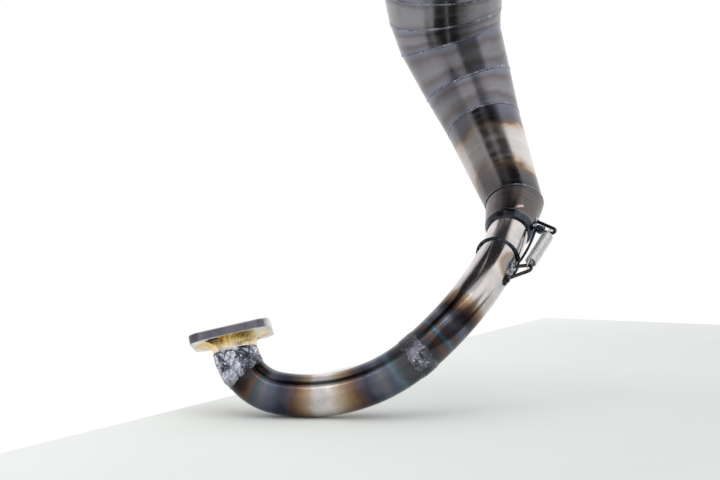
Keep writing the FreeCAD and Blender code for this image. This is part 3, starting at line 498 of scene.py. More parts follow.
def flange_material():
    """Dark plate edges with painted highlights along their rims and a painted lit right end, and
    straw-coloured turning under the plate and on the neck, with painted highlights on the turning.
    """
    paint = Paint("turned_flange")
    height = paint.above(Vector(), way(flange_frame, 2))
    offset = paint.vector("DOT_PRODUCT", paint.place, paint.place)
    axial = paint.math("POWER", paint.math("MULTIPLY", height, MM), 2.0)
    radial = paint.math("DIVIDE", paint.math("SQRT", paint.math("SUBTRACT", offset, axial)), MM)
    across = paint.vector("DOT_PRODUCT", paint.place, tuple(way(flange_frame, 0)))
    upward = paint.vector("DOT_PRODUCT", paint.place, tuple(way(flange_frame, 1)))
    turn = paint.math("ARCTAN2", upward, across)
    slant = paint.math("ADD", paint.math("MULTIPLY", turn, 14.0), paint.math("MULTIPLY", radial, 0.22))
    scratches = paint.add("ShaderNodeCombineXYZ")
    paint.feed(scratches.inputs[0], slant)
    paint.feed(scratches.inputs[1], paint.math("MULTIPLY", height, 0.12))
    marks = paint.ramp(paint.noise(0.75, 4, scratches.outputs[0], 0.65), [(0.4, 0.0), (0.58, 1.0)])
    gold = paint.ramp(
        paint.noise(90, 5),
        [(0.3, tone(226, 186, 96)), (0.5, tone(248, 220, 144)), (0.66, tone(255, 244, 212))],
    )
    gold = paint.mix(paint.math("MULTIPLY", marks, 0.75), gold, tone(168, 120, 48))
    # Painted highlights: pale patches on the straw turning, and a brighter band further down the neck.
    gold_highlight = paint.ramp(paint.noise(70, 3), [(0.52, 0.0), (0.66, 0.8)])
    down_neck = paint.math("DIVIDE", paint.math("SUBTRACT", height, PLATE_THICKNESS), NECK_LENGTH)
    gold_highlight = paint.math("MAXIMUM", gold_highlight, paint.ramp(down_neck, [(0.3, 0.0), (0.75, 0.6)]))
    gold = paint.mix(gold_highlight, gold, tone(255, 246, 222))
    pale = paint.ramp(paint.noise(140, 4), [(0.3, tone(196, 194, 196)), (0.7, tone(232, 230, 230))])
    gold = paint.mix(paint.ramp(paint.math("DIVIDE", radial, 40.0), [(0.60, 0.0), (0.68, 1.0)]), gold, pale)
    edge = paint.ramp(paint.noise(70, 5), [(0.3, tone(90, 89, 97)), (0.7, tone(124, 121, 129))])
    # Painted light: the last part of the plate's right end is painted pale, as a lit end face.
    lit_right_end = paint.math("DIVIDE", across, PLATE_LENGTH / 2 * MM)
    edge = paint.mix(paint.ramp(lit_right_end, [(0.86, 0.0), (0.93, 0.85)]), edge, tone(236, 234, 236))
    # Painted highlights: thin bright lines along both rims of the plate's edge.
    rim_highlights = paint.ramp(
        paint.math("DIVIDE", height, PLATE_THICKNESS),
        [(0.0, 1.0), (0.05, 0.8), (0.12, 0.0), (0.86, 0.0), (0.93, 0.45), (0.97, 0.2)],
    )
    edge = paint.mix(rim_highlights, edge, tone(200, 198, 206))
    under = paint.ramp(paint.math("SUBTRACT", height, PLATE_THICKNESS - 0.6), [(0.25, 0.0), (0.55, 1.0)])
    colour = paint.mix(under, edge, gold)
    rough = paint.ramp(paint.noise(90, 4), [(0.3, 0.22), (0.7, 0.42)])
    paint.bump(paint.math("MULTIPLY", marks, under), 0.00008, 0.8)
    paint.bump(paint.noise(500, 3), 0.00004, 0.4)
    return paint.finish(colour, rough)


def sheet_material(name, near, far, bands, grey_reflection_side=0.0):
    """Rolled sheet whose heat tint runs from one seam to the next.

    Each band is a share of the way and a colour.
    grey_reflection_side is how far the sheet's left side, as the camera sees it, is painted grey, a painted
    reflection over the heat tint.
    """
    paint = Paint(name)
    axis = (far[0] - near[0]).normalized()
    side = axis.orthogonal().normalized()
    streaks = paint.stretched(paint.place, (axis, side, axis.cross(side)), (300.0, 30.0, 30.0))
    passed = paint.math("MAXIMUM", paint.above(near[0], near[1]), 0.0)
    left = paint.math("MAXIMUM", paint.math("MULTIPLY", paint.above(far[0], far[1]), -1.0), 0.0)
    share = paint.math("DIVIDE", passed, paint.math("ADD", paint.math("ADD", passed, left), 0.001))
    waver = paint.math("MULTIPLY", paint.math("SUBTRACT", paint.noise(38, 4), 0.5), 0.46)
    colour = paint.ramp(paint.math("ADD", share, waver), bands)
    # Painted reflection: the left side is painted grey over the heat bands.
    if grey_reflection_side:
        leftward = Vector((-1, 0, 0)) + axis * axis.x
        reach = paint.math("DIVIDE", paint.above(near[0], leftward.normalized()), far[2])
        reach = paint.math("ADD", reach, paint.math("MULTIPLY", waver, 2.4))
        grey_reflection = paint.ramp(reach, [(0.05, 0.0), (0.35, grey_reflection_side), (0.8, grey_reflection_side * 0.5)])
        colour = paint.mix(grey_reflection, colour, tone(158, 152, 153))
    grain = paint.ramp(paint.noise(1.0, 6, streaks), [(0.25, 0.84), (0.75, 1.0)])
    colour = paint.mix(1.0, colour, grain, "MULTIPLY")
    clouds = paint.ramp(paint.noise(26, 5), [(0.35, 0.8), (0.65, 1.0)])
    colour = paint.mix(1.0, colour, clouds, "MULTIPLY")
    rough = paint.ramp(paint.noise(1.0, 4, streaks), [(0.3, 0.16), (0.7, 0.27)])
    paint.bump(paint.noise(1.0, 5, streaks), 0.00002, 0.3)
    paint.bump(paint.noise(30, 2), 0.0009, 0.10)
    return paint.finish(colour, rough)


def turned_material(name, axis, colours, roughness):
    """Turned steel with fine rings round an axis."""
    paint = Paint(name)
    side = axis.orthogonal().normalized()
    rings = paint.stretched(paint.place, (axis, side, axis.cross(side)), (1500.0, 25.0, 25.0))
    colour = paint.ramp(paint.noise(1.0, 4, rings), [(0.3, colours[0]), (0.7, colours[1])])
    stain = paint.ramp(paint.noise(55, 5), [(0.4, 0.0), (0.7, 0.75)])
    colour = paint.mix(stain, colour, colours[2])
    rough = paint.ramp(paint.noise(80, 4), [(0.3, roughness[0]), (0.7, roughness[1])])
    paint.bump(paint.noise(1.0, 3, rings), 0.00003, 0.5)
    return paint.finish(colour, rough)


# The nose's height, and the breadth of the painted highlight line where its chamfer ends, in millimetres
NOSE_HEIGHT, NOSE_HIGHLIGHT_WIDTH = 2.4, 0.7
SCRATCH_HEIGHT, SCRATCH_CLIMB = 5.9, 38.0  # of its middle above the rim, and its slope in degrees
SCRATCH_REACHES = (5.4, 1.4, 4.0)  # half its length, half its width, and how deep the paint goes


def bush_scratch(paint):
    """How far a point of the bush lies in the pale scratch on its front, from 0 to 1."""
    axis = way(bush_frame, 2)
    front = (Vector((0, -1, 0)) + axis * axis.y).normalized()
    right = axis.cross(front)
    climb = math.radians(SCRATCH_CLIMB)
    run = right * math.cos(climb) + axis * math.sin(climb)
    middle = bush_frame.translation + axis * SCRATCH_HEIGHT + front * BUSH_RIM_RADIUS
    offset = paint.vector("SUBTRACT", paint.place, tuple(middle * MM))
    scales = [1 / (reach * MM) for reach in SCRATCH_REACHES]
    spot = paint.stretched(offset, (run, front.cross(run), front), scales)
    ragged = paint.math("MULTIPLY", paint.math("SUBTRACT", paint.noise(420, 3), 0.5), 1.8)
    gap = paint.math("ADD", paint.vector("DISTANCE", spot, (0, 0, 0)), ragged)
    return paint.ramp(gap, [(0.5, 0.85), (1.0, 0.0)])


def bush_material():
    """Dark turned bush: a blue-grey nose painted darker than the taper as a painted reflection on its
    chamfer, a painted highlight line where the chamfer ends, and a brown-stained taper.
    """
    paint = Paint("turned_bush")
    axis = way(bush_frame, 2)
    side = way(bush_frame, 0)
    rings = paint.stretched(paint.place, (axis, side, axis.cross(side)), (1200.0, 22.0, 22.0))
    taper = paint.ramp(paint.noise(1.0, 4, rings), [(0.3, tone(88, 82, 83)), (0.7, tone(118, 110, 110))])
    stain = paint.ramp(paint.noise(50, 5), [(0.4, 0.0), (0.7, 0.7)])
    taper = paint.mix(stain, taper, tone(98, 82, 78))
    # Painted reflection: the chamfered nose is painted darker and bluer than the taper.
    nose = paint.ramp(paint.noise(90, 4), [(0.3, tone(64, 66, 75)), (0.7, tone(88, 90, 100))])
    waver = paint.math("SUBTRACT", paint.noise(70, 3), 0.5)
    height = paint.math("ADD", paint.above(bush_frame.translation, axis), paint.math("MULTIPLY", waver, 0.8))
    height = paint.math("DIVIDE", height, NOSE_HEIGHT * 2)
    colour = paint.mix(paint.ramp(height, [(0.48, 0.0), (0.52, 1.0)]), nose, taper)
    # Painted highlight: a bright line where the chamfer ends.
    width = NOSE_HIGHLIGHT_WIDTH / NOSE_HEIGHT / 4
    line = paint.ramp(height, [(0.5 - width, 0.0), (0.5, 0.85), (0.5 + width, 0.0)])
    colour = paint.mix(line, colour, tone(176, 168, 168))
    colour = paint.mix(bush_scratch(paint), colour, tone(236, 208, 208))
    rough = paint.ramp(paint.noise(80, 4), [(0.3, 0.18), (0.7, 0.32)])
    paint.bump(paint.noise(1.0, 3, rings), 0.00003, 0.5)
    paint.bump(line, 0.0002, 0.3)
    return paint.finish(colour, rough)


def wire_material(name, colours, roughness):
    paint = Paint(name)
    colour = paint.ramp(paint.noise(260, 4), [(0.3, colours[0]), (0.55, colours[1]), (0.75, colours[2])])
    rough = paint.ramp(paint.noise(400, 3), [(0.3, roughness[0]), (0.7, roughness[1])])
    paint.bump(paint.noise(900, 3), 0.00004, 0.5)
    return paint.finish(colour, rough)


# Weld colours from dark to light: the real grey and lilac of the metal, and in the flange palette near-white
# stops that are painted highlights on the lumps.
FLANGE_WELD_PALETTE = [
    (0.28, tone(40, 38, 44)), (0.36, tone(112, 114, 128)), (0.45, tone(182, 186, 204)),
    (0.53, tone(238, 240, 250)), (0.60, tone(176, 180, 204)), (0.70, tone(242, 243, 250)),
    (0.82, tone(132, 112, 108)),
]
BURNT_WELD_PALETTE = [
    (0.30, tone(24, 22, 24)), (0.50, tone(46, 44, 48)), (0.62, tone(74, 72, 78)),
    (0.76, tone(150, 150, 160)),
]
HEADER_WELD_PALETTE = [
    (0.30, tone(64, 64, 70)), (0.50, tone(88, 88, 95)), (0.62, tone(114, 115, 124)),
    (0.76, tone(170, 172, 184)),
]
SEAM_PALETTE = [(0.3, tone(102, 102, 110)), (0.5, tone(126, 127, 137)), (0.7, tone(164, 167, 178))]

# Where the painted highlights on the welds lie, in millimetres
WELD_FRONT_REACH, SEAM_FRONT_REACH = 10.0, 9.0
SEAM_FRONT_WAY = Vector((-0.15, -1, 0))
HIGHLIGHTED_SEAMS = seams[1:4]


def seam_highlight_spot(centre, normal, radius):
    """The middle of a seam's painted highlight, on its side towards the camera."""
    toward = SEAM_FRONT_WAY - normal * SEAM_FRONT_WAY.dot(normal)
    return centre + toward.normalized() * radius


weld_highlight_spot = bend_end.translation + Vector((0, -TUBE_RADIUS, 0))
seam_highlight_spots = [(seam_highlight_spot(*seam), SEAM_FRONT_REACH) for seam in HIGHLIGHTED_SEAMS]
flange_weld_metal = weld_material(
    "flange_weld_metal", FLANGE_WELD_PALETTE, 46, 0.0003, cracks=0.9, soot=(0.55, 1.0), glint_cutoff=0.68
)
header_weld_metal = weld_material(
    "header_weld_metal", HEADER_WELD_PALETTE, 90, 0.0001, glint_cutoff=0.6, bright=[(weld_highlight_spot, WELD_FRONT_REACH)]
)
seam_weld_metal = weld_material("seam_weld_metal", SEAM_PALETTE, 120, 0.0001, glint_cutoff=0.58, bright=seam_highlight_spots)
foot_weld_metal = weld_material("foot_weld_metal", FLANGE_WELD_PALETTE, 240, 0.0003, cracks=0.95)
burnt_weld_metal = weld_material("burnt_weld_metal", BURNT_WELD_PALETTE, 240, 0.0003, cracks=0.95)
hook_steel = wire_material(
    "burnt_hook_wire", (tone(46, 40, 40), tone(84, 74, 74), tone(140, 132, 134)), (0.2, 0.36)
)
keeper_steel = wire_material(
    "keeper_wire_steel", (tone(38, 44, 52), tone(64, 74, 86), tone(120, 132, 144)), (0.2, 0.34)
)
spring_steel = wire_material(
    "bright_spring_wire", (tone(222, 222, 224), tone(236, 236, 238), tone(246, 246, 248)), (0.3, 0.4)
)
bush_steel = bush_material()
bracket_steel = wire_material(
    "cut_bracket_plate", (tone(120, 118, 118), tone(150, 148, 148), tone(176, 174, 174)), (0.3, 0.45)
)
stinger_axis = seams[-1][1]
stinger_colours = (tone(150, 148, 148), tone(176, 174, 174), tone(140, 128, 118))
stinger_steel = turned_material("drawn_stinger", stinger_axis, stinger_colours, (0.2, 0.34))


def dress(node, material):
    """Gives a solid its finish."""
    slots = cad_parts[node].data.materials
    slots.clear()
    slots.append(material)


dress("exhaust_flange", flange_material())
dress("header_bend_tube", bend_tube_material())
dress("header_upper_tube", upper_tube_material())
for node in ("header_spring_hook", "chamber_spring_hook"):
    dress(node, hook_steel)
dress("inlet_bush", bush_steel)
dress("hanger_bracket", bracket_steel)
dress("stinger_tube", stinger_steel)

# The chamber's sheets: the first cone keeps strong heat bands, the next three a faint tint
FIRST_CONE = [
    (0.0, tone(104, 102, 108)), (0.14, tone(118, 114, 116)), (0.20, tone(142, 118, 102)),
    (0.26, tone(212, 192, 170)), (0.34, tone(230, 225, 223)), (0.62, tone(230, 225, 223)),
    (0.71, tone(212, 190, 168)), (0.78, tone(140, 118, 106)), (0.86, tone(116, 114, 122)),
    (1.0, tone(122, 124, 140)),
]
TINTED_CONE = [
    (0.0, tone(134, 136, 148)), (0.12, tone(130, 131, 141)), (0.26, tone(122, 114, 115)),
    (0.42, tone(146, 144, 149)), (0.62, tone(140, 138, 144)), (0.78, tone(122, 114, 117)),
    (0.90, tone(130, 133, 145)), (1.0, tone(136, 140, 154)),
]
PLAIN_CONE = [
    (0.0, tone(142, 145, 157)), (0.10, tone(126, 124, 128)), (0.22, tone(147, 145, 149)),
    (0.78, tone(149, 147, 151)), (0.90, tone(126, 124, 128)), (1.0, tone(142, 145, 157)),
]
TINTED_CONES = 3
# How strongly the first cone's left side is painted grey, as a painted reflection.
FIRST_CONE_GREY_REFLECTION = 0.75

sheet_nodes = [f"diffuser_cone_{k + 1}" for k in range(len(CONES))] + ["belly_shell"]
sheet_nodes += [f"baffle_cone_{k + 1}" for k in range(len(BAFFLES))]
sheet_bands = [FIRST_CONE] + [TINTED_CONE] * TINTED_CONES
sheet_bands += [PLAIN_CONE] * (len(sheet_nodes) - len(sheet_bands))
for index, (node, bands) in enumerate(zip(sheet_nodes, sheet_bands)):
    grey_reflection_side = 0.0 if index else FIRST_CONE_GREY_REFLECTION
    dress(node, sheet_material(f"sheet_{node}", seams[index], seams[index + 1], bands, grey_reflection_side))


# Welds


def collar(place_at, spread, height, scale, steps, sides=160):
    """A lumpy collar round the tube.

    place_at gives the frame at a share of the collar's length, and height its rise in millimetres there.
    """
    rings, reliefs, shares = [], [], []
    for step in range(steps + 1):
        share = step / steps
        place = place_at(share * spread[1] + (1 - share) * spread[0])
        ring = []
        for k in range(sides):
            turn = 2 * math.pi * k / sides
            flat = place @ (Vector((math.cos(turn), math.sin(turn), 0)) * TUBE_RADIUS)
            ragged = 0.10 * noise.noise(flat * 0.22) + 0.05 * noise.noise(flat * 0.6)
            coarse, fine = lumps(flat, scale), lumps(flat, scale * 2.4)
            relief = coarse + (fine - coarse) * min(max(share * 1.6 - 0.4, 0.0), 1.0)
            rise = height(share + ragged, relief) if 0 < step < steps else -0.5
            ring.append(flat + (flat - place.translation).normalized() * rise)
            reliefs.append(relief)
            shares.append(share)
        rings.append(ring)
    vertices, faces = skin(rings, looped=False, capped=False)
    return vertices, faces, {"relief": reliefs, "share": shares}


UNDER_WALL = -0.3  # where a weld has run out, its skin lies this far under the tube's wall


def flange_weld_height(share, relief):
    """A thick weld that thins out towards its far end."""
    start, end, thinning = 0.04, 0.97, 0.28
    if not start < share < end:
        return UNDER_WALL
    fade = min(1.0, (end - share) / thinning)
    return fade * (0.55 + 0.95 * relief) - 0.1


def header_weld_height(share, relief):
    """A low weld that thins out towards both ends."""
    end, slope = 0.96, 2.2
    edge = abs(share - 0.5) * 2
    if edge > end:
        return UNDER_WALL
    return min(1.0, (end - edge) * slope) * (0.25 + 0.45 * relief) - 0.05


FLANGE_WELD_SPAN = (-1.5, 31.0)  # degrees along the first bend
HEADER_WELD_SPAN = (-7.5, 7.5)  # millimetres along the joint of the two tubes


def along_first_bend(angle):
    return bent(bend_start, FIRST_BEND[0], angle)


def along_header_weld(reach):
    return straight(bend_end, reach)


def make_header_welds():
    mesh = collar(along_first_bend, FLANGE_WELD_SPAN, flange_weld_height, scale=0.24, steps=80)
    vertices, faces, fields = mesh
    piece = mesh_piece("flange_weld_bead", vertices, faces, "header", flange_weld_metal, fields)
    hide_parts("flange_weld")
    mesh = collar(along_header_weld, HEADER_WELD_SPAN, header_weld_height, scale=0.4, steps=50)
    vertices, faces, fields = mesh
    piece = mesh_piece("header_weld_bead", vertices, faces, "header", header_weld_metal, fields)
    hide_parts("header_weld")


# Seam beads, in millimetres: a bead is a width and a rise
SEAM_BEAD, STINGER_BEAD = (1.8, 0.24), (2.2, 0.7)
BEAD_SIDES, BEAD_SPACING, BEAD_RIPPLE = 10, 0.45, 2.4
ON_SEAM = 0.02


def seam_outline(node, centre, normal):
    """Where a shell's edge lies on a seam.

    The result is a function that gives the edge's point at a turn about the seam's middle.
    """
    side = normal.orthogonal().normalized()
    across = normal.cross(side)
    rows = []
    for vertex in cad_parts[node].data.vertices:
        offset = vertex.co / MM - centre
        if abs(offset.dot(normal)) < ON_SEAM:
            rows.append((math.atan2(offset.dot(across), offset.dot(side)), offset.length))
    turns, reaches = np.array(rows).T
    outer = reaches > reaches.mean()

    def terms(turn):
        waves = [np.cos(turn), np.sin(turn), np.cos(2 * turn), np.sin(2 * turn)]
        return np.stack([np.ones_like(turn), *waves], -1)

    fit = np.linalg.lstsq(terms(turns[outer]), reaches[outer], rcond=None)[0]

    def edge(turn):
        reach = float(terms(np.array([turn]))[0] @ fit)
        return centre + (side * math.cos(turn) + across * math.sin(turn)) * reach

    return edge


def inside_box(spot):
    """A point in millimetres, brought inside the box of the solids."""
    return [min(max(v, low / MM), high / MM) for v, low, high in zip(spot, *cad_box)]


def make_seam_bead(name, node, seam, width, rise):
    """A low, rippled bead over a seam."""
    centre, normal, radius = seam
    edge = seam_outline(node, centre, normal)
    count = int(2 * math.pi * radius / BEAD_SPACING)
    rings, reliefs = [], []
    for k in range(count):
        turn = 2 * math.pi * k / count
        point = edge(turn)
        out = (point - centre).normalized()
        wave = turn * radius / BEAD_RIPPLE + 2 * noise.noise(point * 0.15)
        ripple = 0.72 + 0.28 * abs(math.sin(wave))
        relief = lumps(point, 0.5)
        swell = 0.6 + 0.8 * relief
        shift = 0.3 * noise.noise(point * 0.12)
        ring = []
        for n in range(BEAD_SIDES):
            around = 2 * math.pi * n / BEAD_SIDES
            drift = normal * (width / 2 * math.cos(around) * (0.8 + 0.4 * relief) + shift)
            lift = out * (rise * ripple * swell * math.sin(around))
            ring.append(inside_box(point + drift + lift))
        rings.append(ring)
        reliefs += [relief] * BEAD_SIDES
    vertices, faces = skin(rings, looped=True)
    mesh_piece(name, vertices, faces, "chamber", seam_weld_metal, {"relief": reliefs})


def make_seam_beads():
    for index, seam in enumerate(seams[:-1]):
        make_seam_bead(f"seam_bead_{index}", sheet_nodes[index], seam, *SEAM_BEAD)
    make_seam_bead("stinger_weld_bead", sheet_nodes[-1], seams[-1], *STINGER_BEAD)


make_header_welds()
make_seam_beads()


# Slip joint: spring, keeper wire and the welds at the hooks' feet

SPRING_RADIUS, SPRING_WIRE, SPRING_PITCH = 4.1, 0.5, 0.74
EYE_PLAY, EYE_LEAD = 0.3, 2.0  # between an eye and its hook, and between an eye's middle and the coil
EYE_SWEEP, EYE_STEPS = math.radians(300), 100
COIL_STEPS, COIL_SIDES = 28, 8


def spring_line(half, mean):
    """The spring's wire about its own middle: an eye, the coil and the other eye."""
    coil = half - EYE_LEAD
    steps = round(2 * coil / SPRING_PITCH) * COIL_STEPS
    eye = []
    for k in range(EYE_STEPS):
        swing = math.pi - EYE_SWEEP * (1 - k / EYE_STEPS)
        eye.append(Vector((mean * math.cos(swing), 0.0, half + mean * math.sin(swing))))
    body = []
    for k in range(steps + 1):
        turn = math.pi + 2 * math.pi * k / COIL_STEPS
        height = coil - 2 * coil * k / steps
        body.append(Vector((mean * math.cos(turn), mean * math.sin(turn), height)))
    return eye + body + [Vector((point.x, point.y, -point.z)) for point in reversed(eye)]


def make_spring():
    pull = (CHAMBER_EYE - HEADER_EYE).normalized()
    mean = SPRING_RADIUS - SPRING_WIRE
    inset = HOOK_BOW - HOOK_WIRE - SPRING_WIRE - EYE_PLAY + mean
    low, high = HEADER_EYE + pull * inset, CHAMBER_EYE - pull * inset
    place = frame_from((low + high) / 2, pull, way(joint_frame, 1))
    line = [place @ point for point in spring_line((high - low).length / 2, mean)]
    vertices, faces = skin(wire_rings(line, SPRING_WIRE, COIL_SIDES), looped=False)
    piece = mesh_piece("joint_spring_coil", vertices, faces, None, spring_steel)
    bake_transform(piece)
    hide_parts("joint_spring")


KEEPER_LEAD = 2.1 * KEEPER_WIRE  # how far the wire moves on in one turn
KEEPER_LOOP_GAP, KEEPER_WRAP_GAP = 0.25, 0.05  # off the tube, and off the hook's leg
KEEPER_WRAPS, WRAPS_START = 2.5, 2.4  # turns round the leg, and how far from its foot they begin
KEEPER_STEPS, KEEPER_SIDES, PATH_STEPS = 30, 12, 6
STRAND_BOW, STRAND_KNOTS, STRAND_BLEND = 1.2, (0.35, 0.7), 0.2


def make_keeper_wire():
    """One bent wire: a loop round the tube, a bowed strand to the chamber's hook, wraps round its leg."""
    place = below_rim(KEEPER_STATION)
    toward = joint_frame @ Vector((2 * BUSH_RIM_RADIUS, 0, 0))
    loop = frame_from(place.translation, way(place, 2), toward - place.translation)
    loop = loop @ Matrix.Rotation(math.radians(KEEPER_TILT), 4, "X")
    radius = TUBE_RADIUS + KEEPER_WIRE + KEEPER_LOOP_GAP
    controls = []
    for k in range(KEEPER_STEPS + 1):
        turn = 2 * math.pi * k / KEEPER_STEPS
        rise = KEEPER_LEAD * (k / KEEPER_STEPS)
        controls.append(loop @ Vector((radius * math.cos(turn), radius * math.sin(turn), rise)))
    foot, _, along = chamber_foot(CHAMBER_FEET[0])
    leg = (joint_frame @ (CHAMBER_EYE_SPOT - Vector((0, 0, HOOK_BOW))) - foot).normalized()
    across = leg.cross(along).normalized()
    upward = across.cross(leg)
    reach = HOOK_WIRE + KEEPER_WIRE + KEEPER_WRAP_GAP
    wraps = []
    for k in range(KEEPER_STEPS + 1):
        turn = math.radians(-90) + 2 * math.pi * KEEPER_WRAPS * k / KEEPER_STEPS
        spot = foot + leg * (WRAPS_START + KEEPER_LEAD * KEEPER_WRAPS * k / KEEPER_STEPS)
        wraps.append(spot + (across * math.cos(turn) + upward * math.sin(turn)) * reach)
    strand_low, strand_high = controls[-1], wraps[0]
    bow = (strand_high - strand_low).cross(across).normalized() * STRAND_BOW
    strand = []
    for share in STRAND_KNOTS:
        strand.append(strand_low.lerp(strand_high, share) + bow * math.sin(math.pi * share))
    line = smooth_path(controls + strand + wraps, PATH_STEPS)
    vertices, faces = skin(wire_rings(line, KEEPER_WIRE, KEEPER_SIDES), looped=False)
    piece = mesh_piece("keeper_wire_bent", vertices, faces, None, keeper_steel)
    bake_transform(piece)
    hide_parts("keeper_wire")


BLOB_STEPS, BLOB_SIDES, BLOB_TOP = 14, 48, math.radians(86)
BLOB_LUMPS, BLOB_SINK = 0.45, 0.6  # the scale of its lumps, and how far its rim lies under the wall
LOW_WELD_SHIFT = 0.6  # of the low weld at the chamber's hook, from the hook's foot


def make_blob(name, foot, spread, body, metal):
    """A lumpy dome of weld on a wall. spread is its half length, half width and rise in millimetres."""
    point, out, along = foot
    across = out.cross(along)
    length, width, rise = spread
    rings, reliefs = [], []
    for step in range(BLOB_STEPS + 1):
        climb = BLOB_TOP * step / BLOB_STEPS
        ring = []
        for k in range(BLOB_SIDES):
            turn = 2 * math.pi * k / BLOB_SIDES
            flat = along * (length * math.cos(turn)) + across * (width * math.sin(turn))
            level = lumps(point + flat * math.cos(climb), BLOB_LUMPS)
            flat *= math.cos(climb) * (0.8 + 0.4 * level)
            sag = flat.dot(across) ** 2 / (2 * TUBE_RADIUS)
            lift = rise * math.sin(climb) * (0.5 + 0.9 * level) - sag - BLOB_SINK * math.cos(climb)
            ring.append(point + flat + out * lift)
            reliefs.append(level)
        rings.append(ring)
    vertices, faces = skin(rings, looped=False)
    mesh_piece(name, vertices, faces, body, metal, {"relief": reliefs})


def make_foot_welds():
    high, low = (header_foot(reach) for reach in HEADER_FEET)
    make_blob("header_hook_weld_high", high, (3.6, 3.8, 1.5), "header", foot_weld_metal)
    make_blob("header_hook_weld_low", low, (4.6, 3.6, 2.2), "header", burnt_weld_metal)
    low, high = chamber_foot(CHAMBER_FEET[0] + LOW_WELD_SHIFT), chamber_foot(CHAMBER_FEET[1])
    make_blob("chamber_hook_weld_low", low, (2.4, 3.0, 1.2), "chamber", foot_weld_metal)
    make_blob("chamber_hook_weld_high", high, (3.0, 3.4, 1.6), "chamber", foot_weld_metal)


make_spring()
make_keeper_wire()
make_foot_welds()


# Studio, in metres: pale table, white surround, soft lamps and grey cards that only show in the metal

FLOOR_LEVEL = cad_box[0].z
TABLE_CORNER = Vector((0.325, 0.745, 0))
TABLE_TURN = math.radians(-26.5)
TABLE_SPAN = 4.0
TABLE_ROUGHNESS = 0.55
# Painted shading on the table: its colour is lighter towards the left and the far side and darker near the
# camera, as the light falls.
SHADE_WAY, SHADE_OFFSET, SHADE_REACH = (-1.0, 0.6, 0.0), 0.35, 0.6  # the table gets lighter that way
SHADE_RANGE = (0.78, 0.95)
FILL_COLOUR, FILL_STRENGTH = (0.96, 0.98, 1.0, 1), 1.07
CAMERA_PLACE, CAMERA_PITCH = (0.0863, -0.8015, 0.0777), 88.8
LENS, SENSOR_WIDTH = 60.0, 36.0  # millimetres


def stage_mesh(name, vertices, faces, material):
    mesh = bpy.data.meshes.new(name)
    mesh.from_pydata(vertices, [], faces)
    mesh.materials.append(material)
    item = bpy.data.objects.new(name, mesh)
    bpy.context.scene.collection.objects.link(item)
    return item


def make_table():
    paint = Paint("pale_table", metallic=0.0, roughness=TABLE_ROUGHNESS)
    colour = paint.ramp(paint.noise(3.0, 3), [(0.3, tone(231, 232, 228)), (0.7, tone(237, 238, 234))])
    # Painted shading across the table.
    reach = paint.math("ADD", paint.vector("DOT_PRODUCT", paint.place, SHADE_WAY), SHADE_OFFSET)
    shade = paint.ramp(paint.math("DIVIDE", reach, SHADE_REACH), list(enumerate(SHADE_RANGE)))
    colour = paint.mix(1.0, colour, shade, "MULTIPLY")
    paint.finish(colour, TABLE_ROUGHNESS)
    paint.shader.inputs["Specular IOR Level"].default_value = 0.0
    right = Vector((math.cos(TABLE_TURN), math.sin(TABLE_TURN), 0)) * TABLE_SPAN
    near = Vector((math.sin(TABLE_TURN), -math.cos(TABLE_TURN), 0)) * TABLE_SPAN
    corner = TABLE_CORNER + Vector((0, 0, FLOOR_LEVEL))
    corners = [corner, corner + right, corner + right + near, corner + near]
    stage_mesh("table_top", [tuple(c) for c in corners], [(3, 2, 1, 0)], paint.material)


def level_corners(left, right, near, far, height):
    return [(left, near, height), (right, near, height), (right, far, height), (left, far, height)]


def upright_corners(start, end, low, high):
    return [(*start, low), (*end, low), (*end, high), (*start, high)]


def make_panel(name, corners, level):
    """A flat grey card, seen only in reflections."""
    material = bpy.data.materials.new(name)
    material.use_nodes = True
    tree = material.node_tree
    tree.nodes.clear()
    out = tree.nodes.new("ShaderNodeOutputMaterial")
    glow = tree.nodes.new("ShaderNodeEmission")
    glow.inputs["Color"].default_value = (level, level, level, 1)
    tree.links.new(glow.outputs["Emission"], out.inputs["Surface"])
    item = stage_mesh(name, corners, [(0, 1, 2, 3)], material)
    item.visible_camera = False
    item.visible_diffuse = False
    item.visible_shadow = False
    item.visible_transmission = False


def make_lamp(name, place, target, size, power):
    lamp = bpy.data.lights.new(name, "AREA")
    lamp.shape = "RECTANGLE"
    lamp.size, lamp.size_y = size
    lamp.energy = power
    item = bpy.data.objects.new(name, lamp)
    item.location = place
    item.rotation_euler = (Vector(target) - Vector(place)).to_track_quat("-Z", "Y").to_euler()
    item.visible_glossy = False
    bpy.context.scene.collection.objects.link(item)


def make_world():
    world = bpy.data.worlds.new("white_surround")
    bpy.context.scene.world = world
    world.use_nodes = True
    tree = world.node_tree
    tree.nodes.clear()
    out = tree.nodes.new("ShaderNodeOutputWorld")
    seen = tree.nodes.new("ShaderNodeBackground")
    seen.inputs["Color"].default_value = (1, 1, 1, 1)
    fill = tree.nodes.new("ShaderNodeBackground")
    fill.inputs["Color"].default_value = FILL_COLOUR
    fill.inputs["Strength"].default_value = FILL_STRENGTH
    path = tree.nodes.new("ShaderNodeLightPath")
    total = path.outputs["Is Camera Ray"]
    for ray in ("Is Glossy Ray", "Is Transmission Ray"):
        node = tree.nodes.new("ShaderNodeMath")
        node.operation = "MAXIMUM"
        tree.links.new(total, node.inputs[0])
        tree.links.new(path.outputs[ray], node.inputs[1])
        total = node.outputs[0]
    mix = tree.nodes.new("ShaderNodeMixShader")
    tree.links.new(total, mix.inputs[0])
    tree.links.new(fill.outputs[0], mix.inputs[1])
    tree.links.new(seen.outputs[0], mix.inputs[2])
    tree.links.new(mix.outputs[0], out.inputs["Surface"])


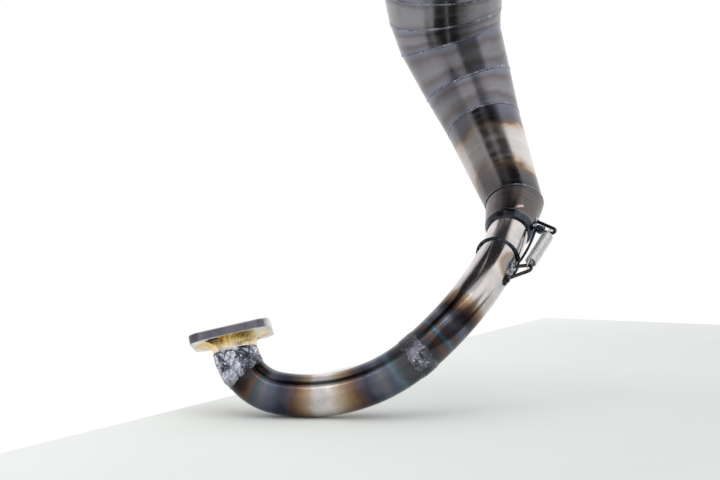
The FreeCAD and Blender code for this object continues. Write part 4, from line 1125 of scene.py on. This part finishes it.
def make_camera():
    data = bpy.data.cameras.new("photo_camera")
    data.sensor_width = SENSOR_WIDTH
    data.lens = LENS
    camera = bpy.data.objects.new("photo_camera", data)
    camera.location = CAMERA_PLACE
    camera.rotation_euler = (math.radians(CAMERA_PITCH), 0, 0)
    bpy.context.scene.collection.objects.link(camera)
    bpy.context.scene.camera = camera


OVERHEAD, NEAR, CEILING = 0.62, 0.12, 1.2  # heights of the level cards
BLACK, CHARCOAL = 0.012, 0.02
OFF_FLOOR = 0.0005

PANELS = [  # name, corners and grey level of each card
    ("overhead_left", level_corners(-0.3, 0.0, -0.33, 0.0, OVERHEAD), BLACK),
    ("overhead_middle", level_corners(0.0, 0.13, -0.28, -0.13, OVERHEAD), 0.1),
    ("overhead_right", level_corners(0.13, 0.5, -0.28, -0.05, OVERHEAD), BLACK),
    ("near_left", level_corners(0.1, 0.154, -0.03, 0.034, NEAR), CHARCOAL),
    ("near_right", level_corners(0.159, 0.205, -0.03, 0.034, NEAR), CHARCOAL),
    ("left_wall", upright_corners((-0.6, -0.9), (-0.6, 0.5), -0.05, 0.7), 0.5),
    ("right_wall", upright_corners((0.2, -1.0), (1.7, -1.0), -0.05, 0.6), 0.25),
    ("right_floor", level_corners(0.25, 1.6, -1.0, -0.08, FLOOR_LEVEL + OFF_FLOOR), 0.14),
    ("grey_ceiling", level_corners(-1.2, 0.7, -1.0, 1.0, CEILING), 0.58),
    ("bright_strip", level_corners(-0.7, 0.5, -1.12, -1.05, CEILING), 5.0),
]
LAMPS = [  # name, place, what it points at, size and power
    ("overhead", (0.1, -0.4, 1.6), (0.1, 0.0, 0.0), (1.8, 1.4), 4.4),
    ("left_strip", (-1.2, -0.9, 0.6), (0.1, 0.0, 0.1), (0.6, 1.0), 2.4),
    ("right_strip", (1.4, -0.3, 0.7), (0.15, 0.0, 0.1), (0.6, 1.0), 1.5),
]

make_table()
for panel in PANELS:
    make_panel(*panel)
for lamp in LAMPS:
    make_lamp(*lamp)
make_world()
make_camera()
bpy.context.scene.view_settings.view_transform = "Standard"
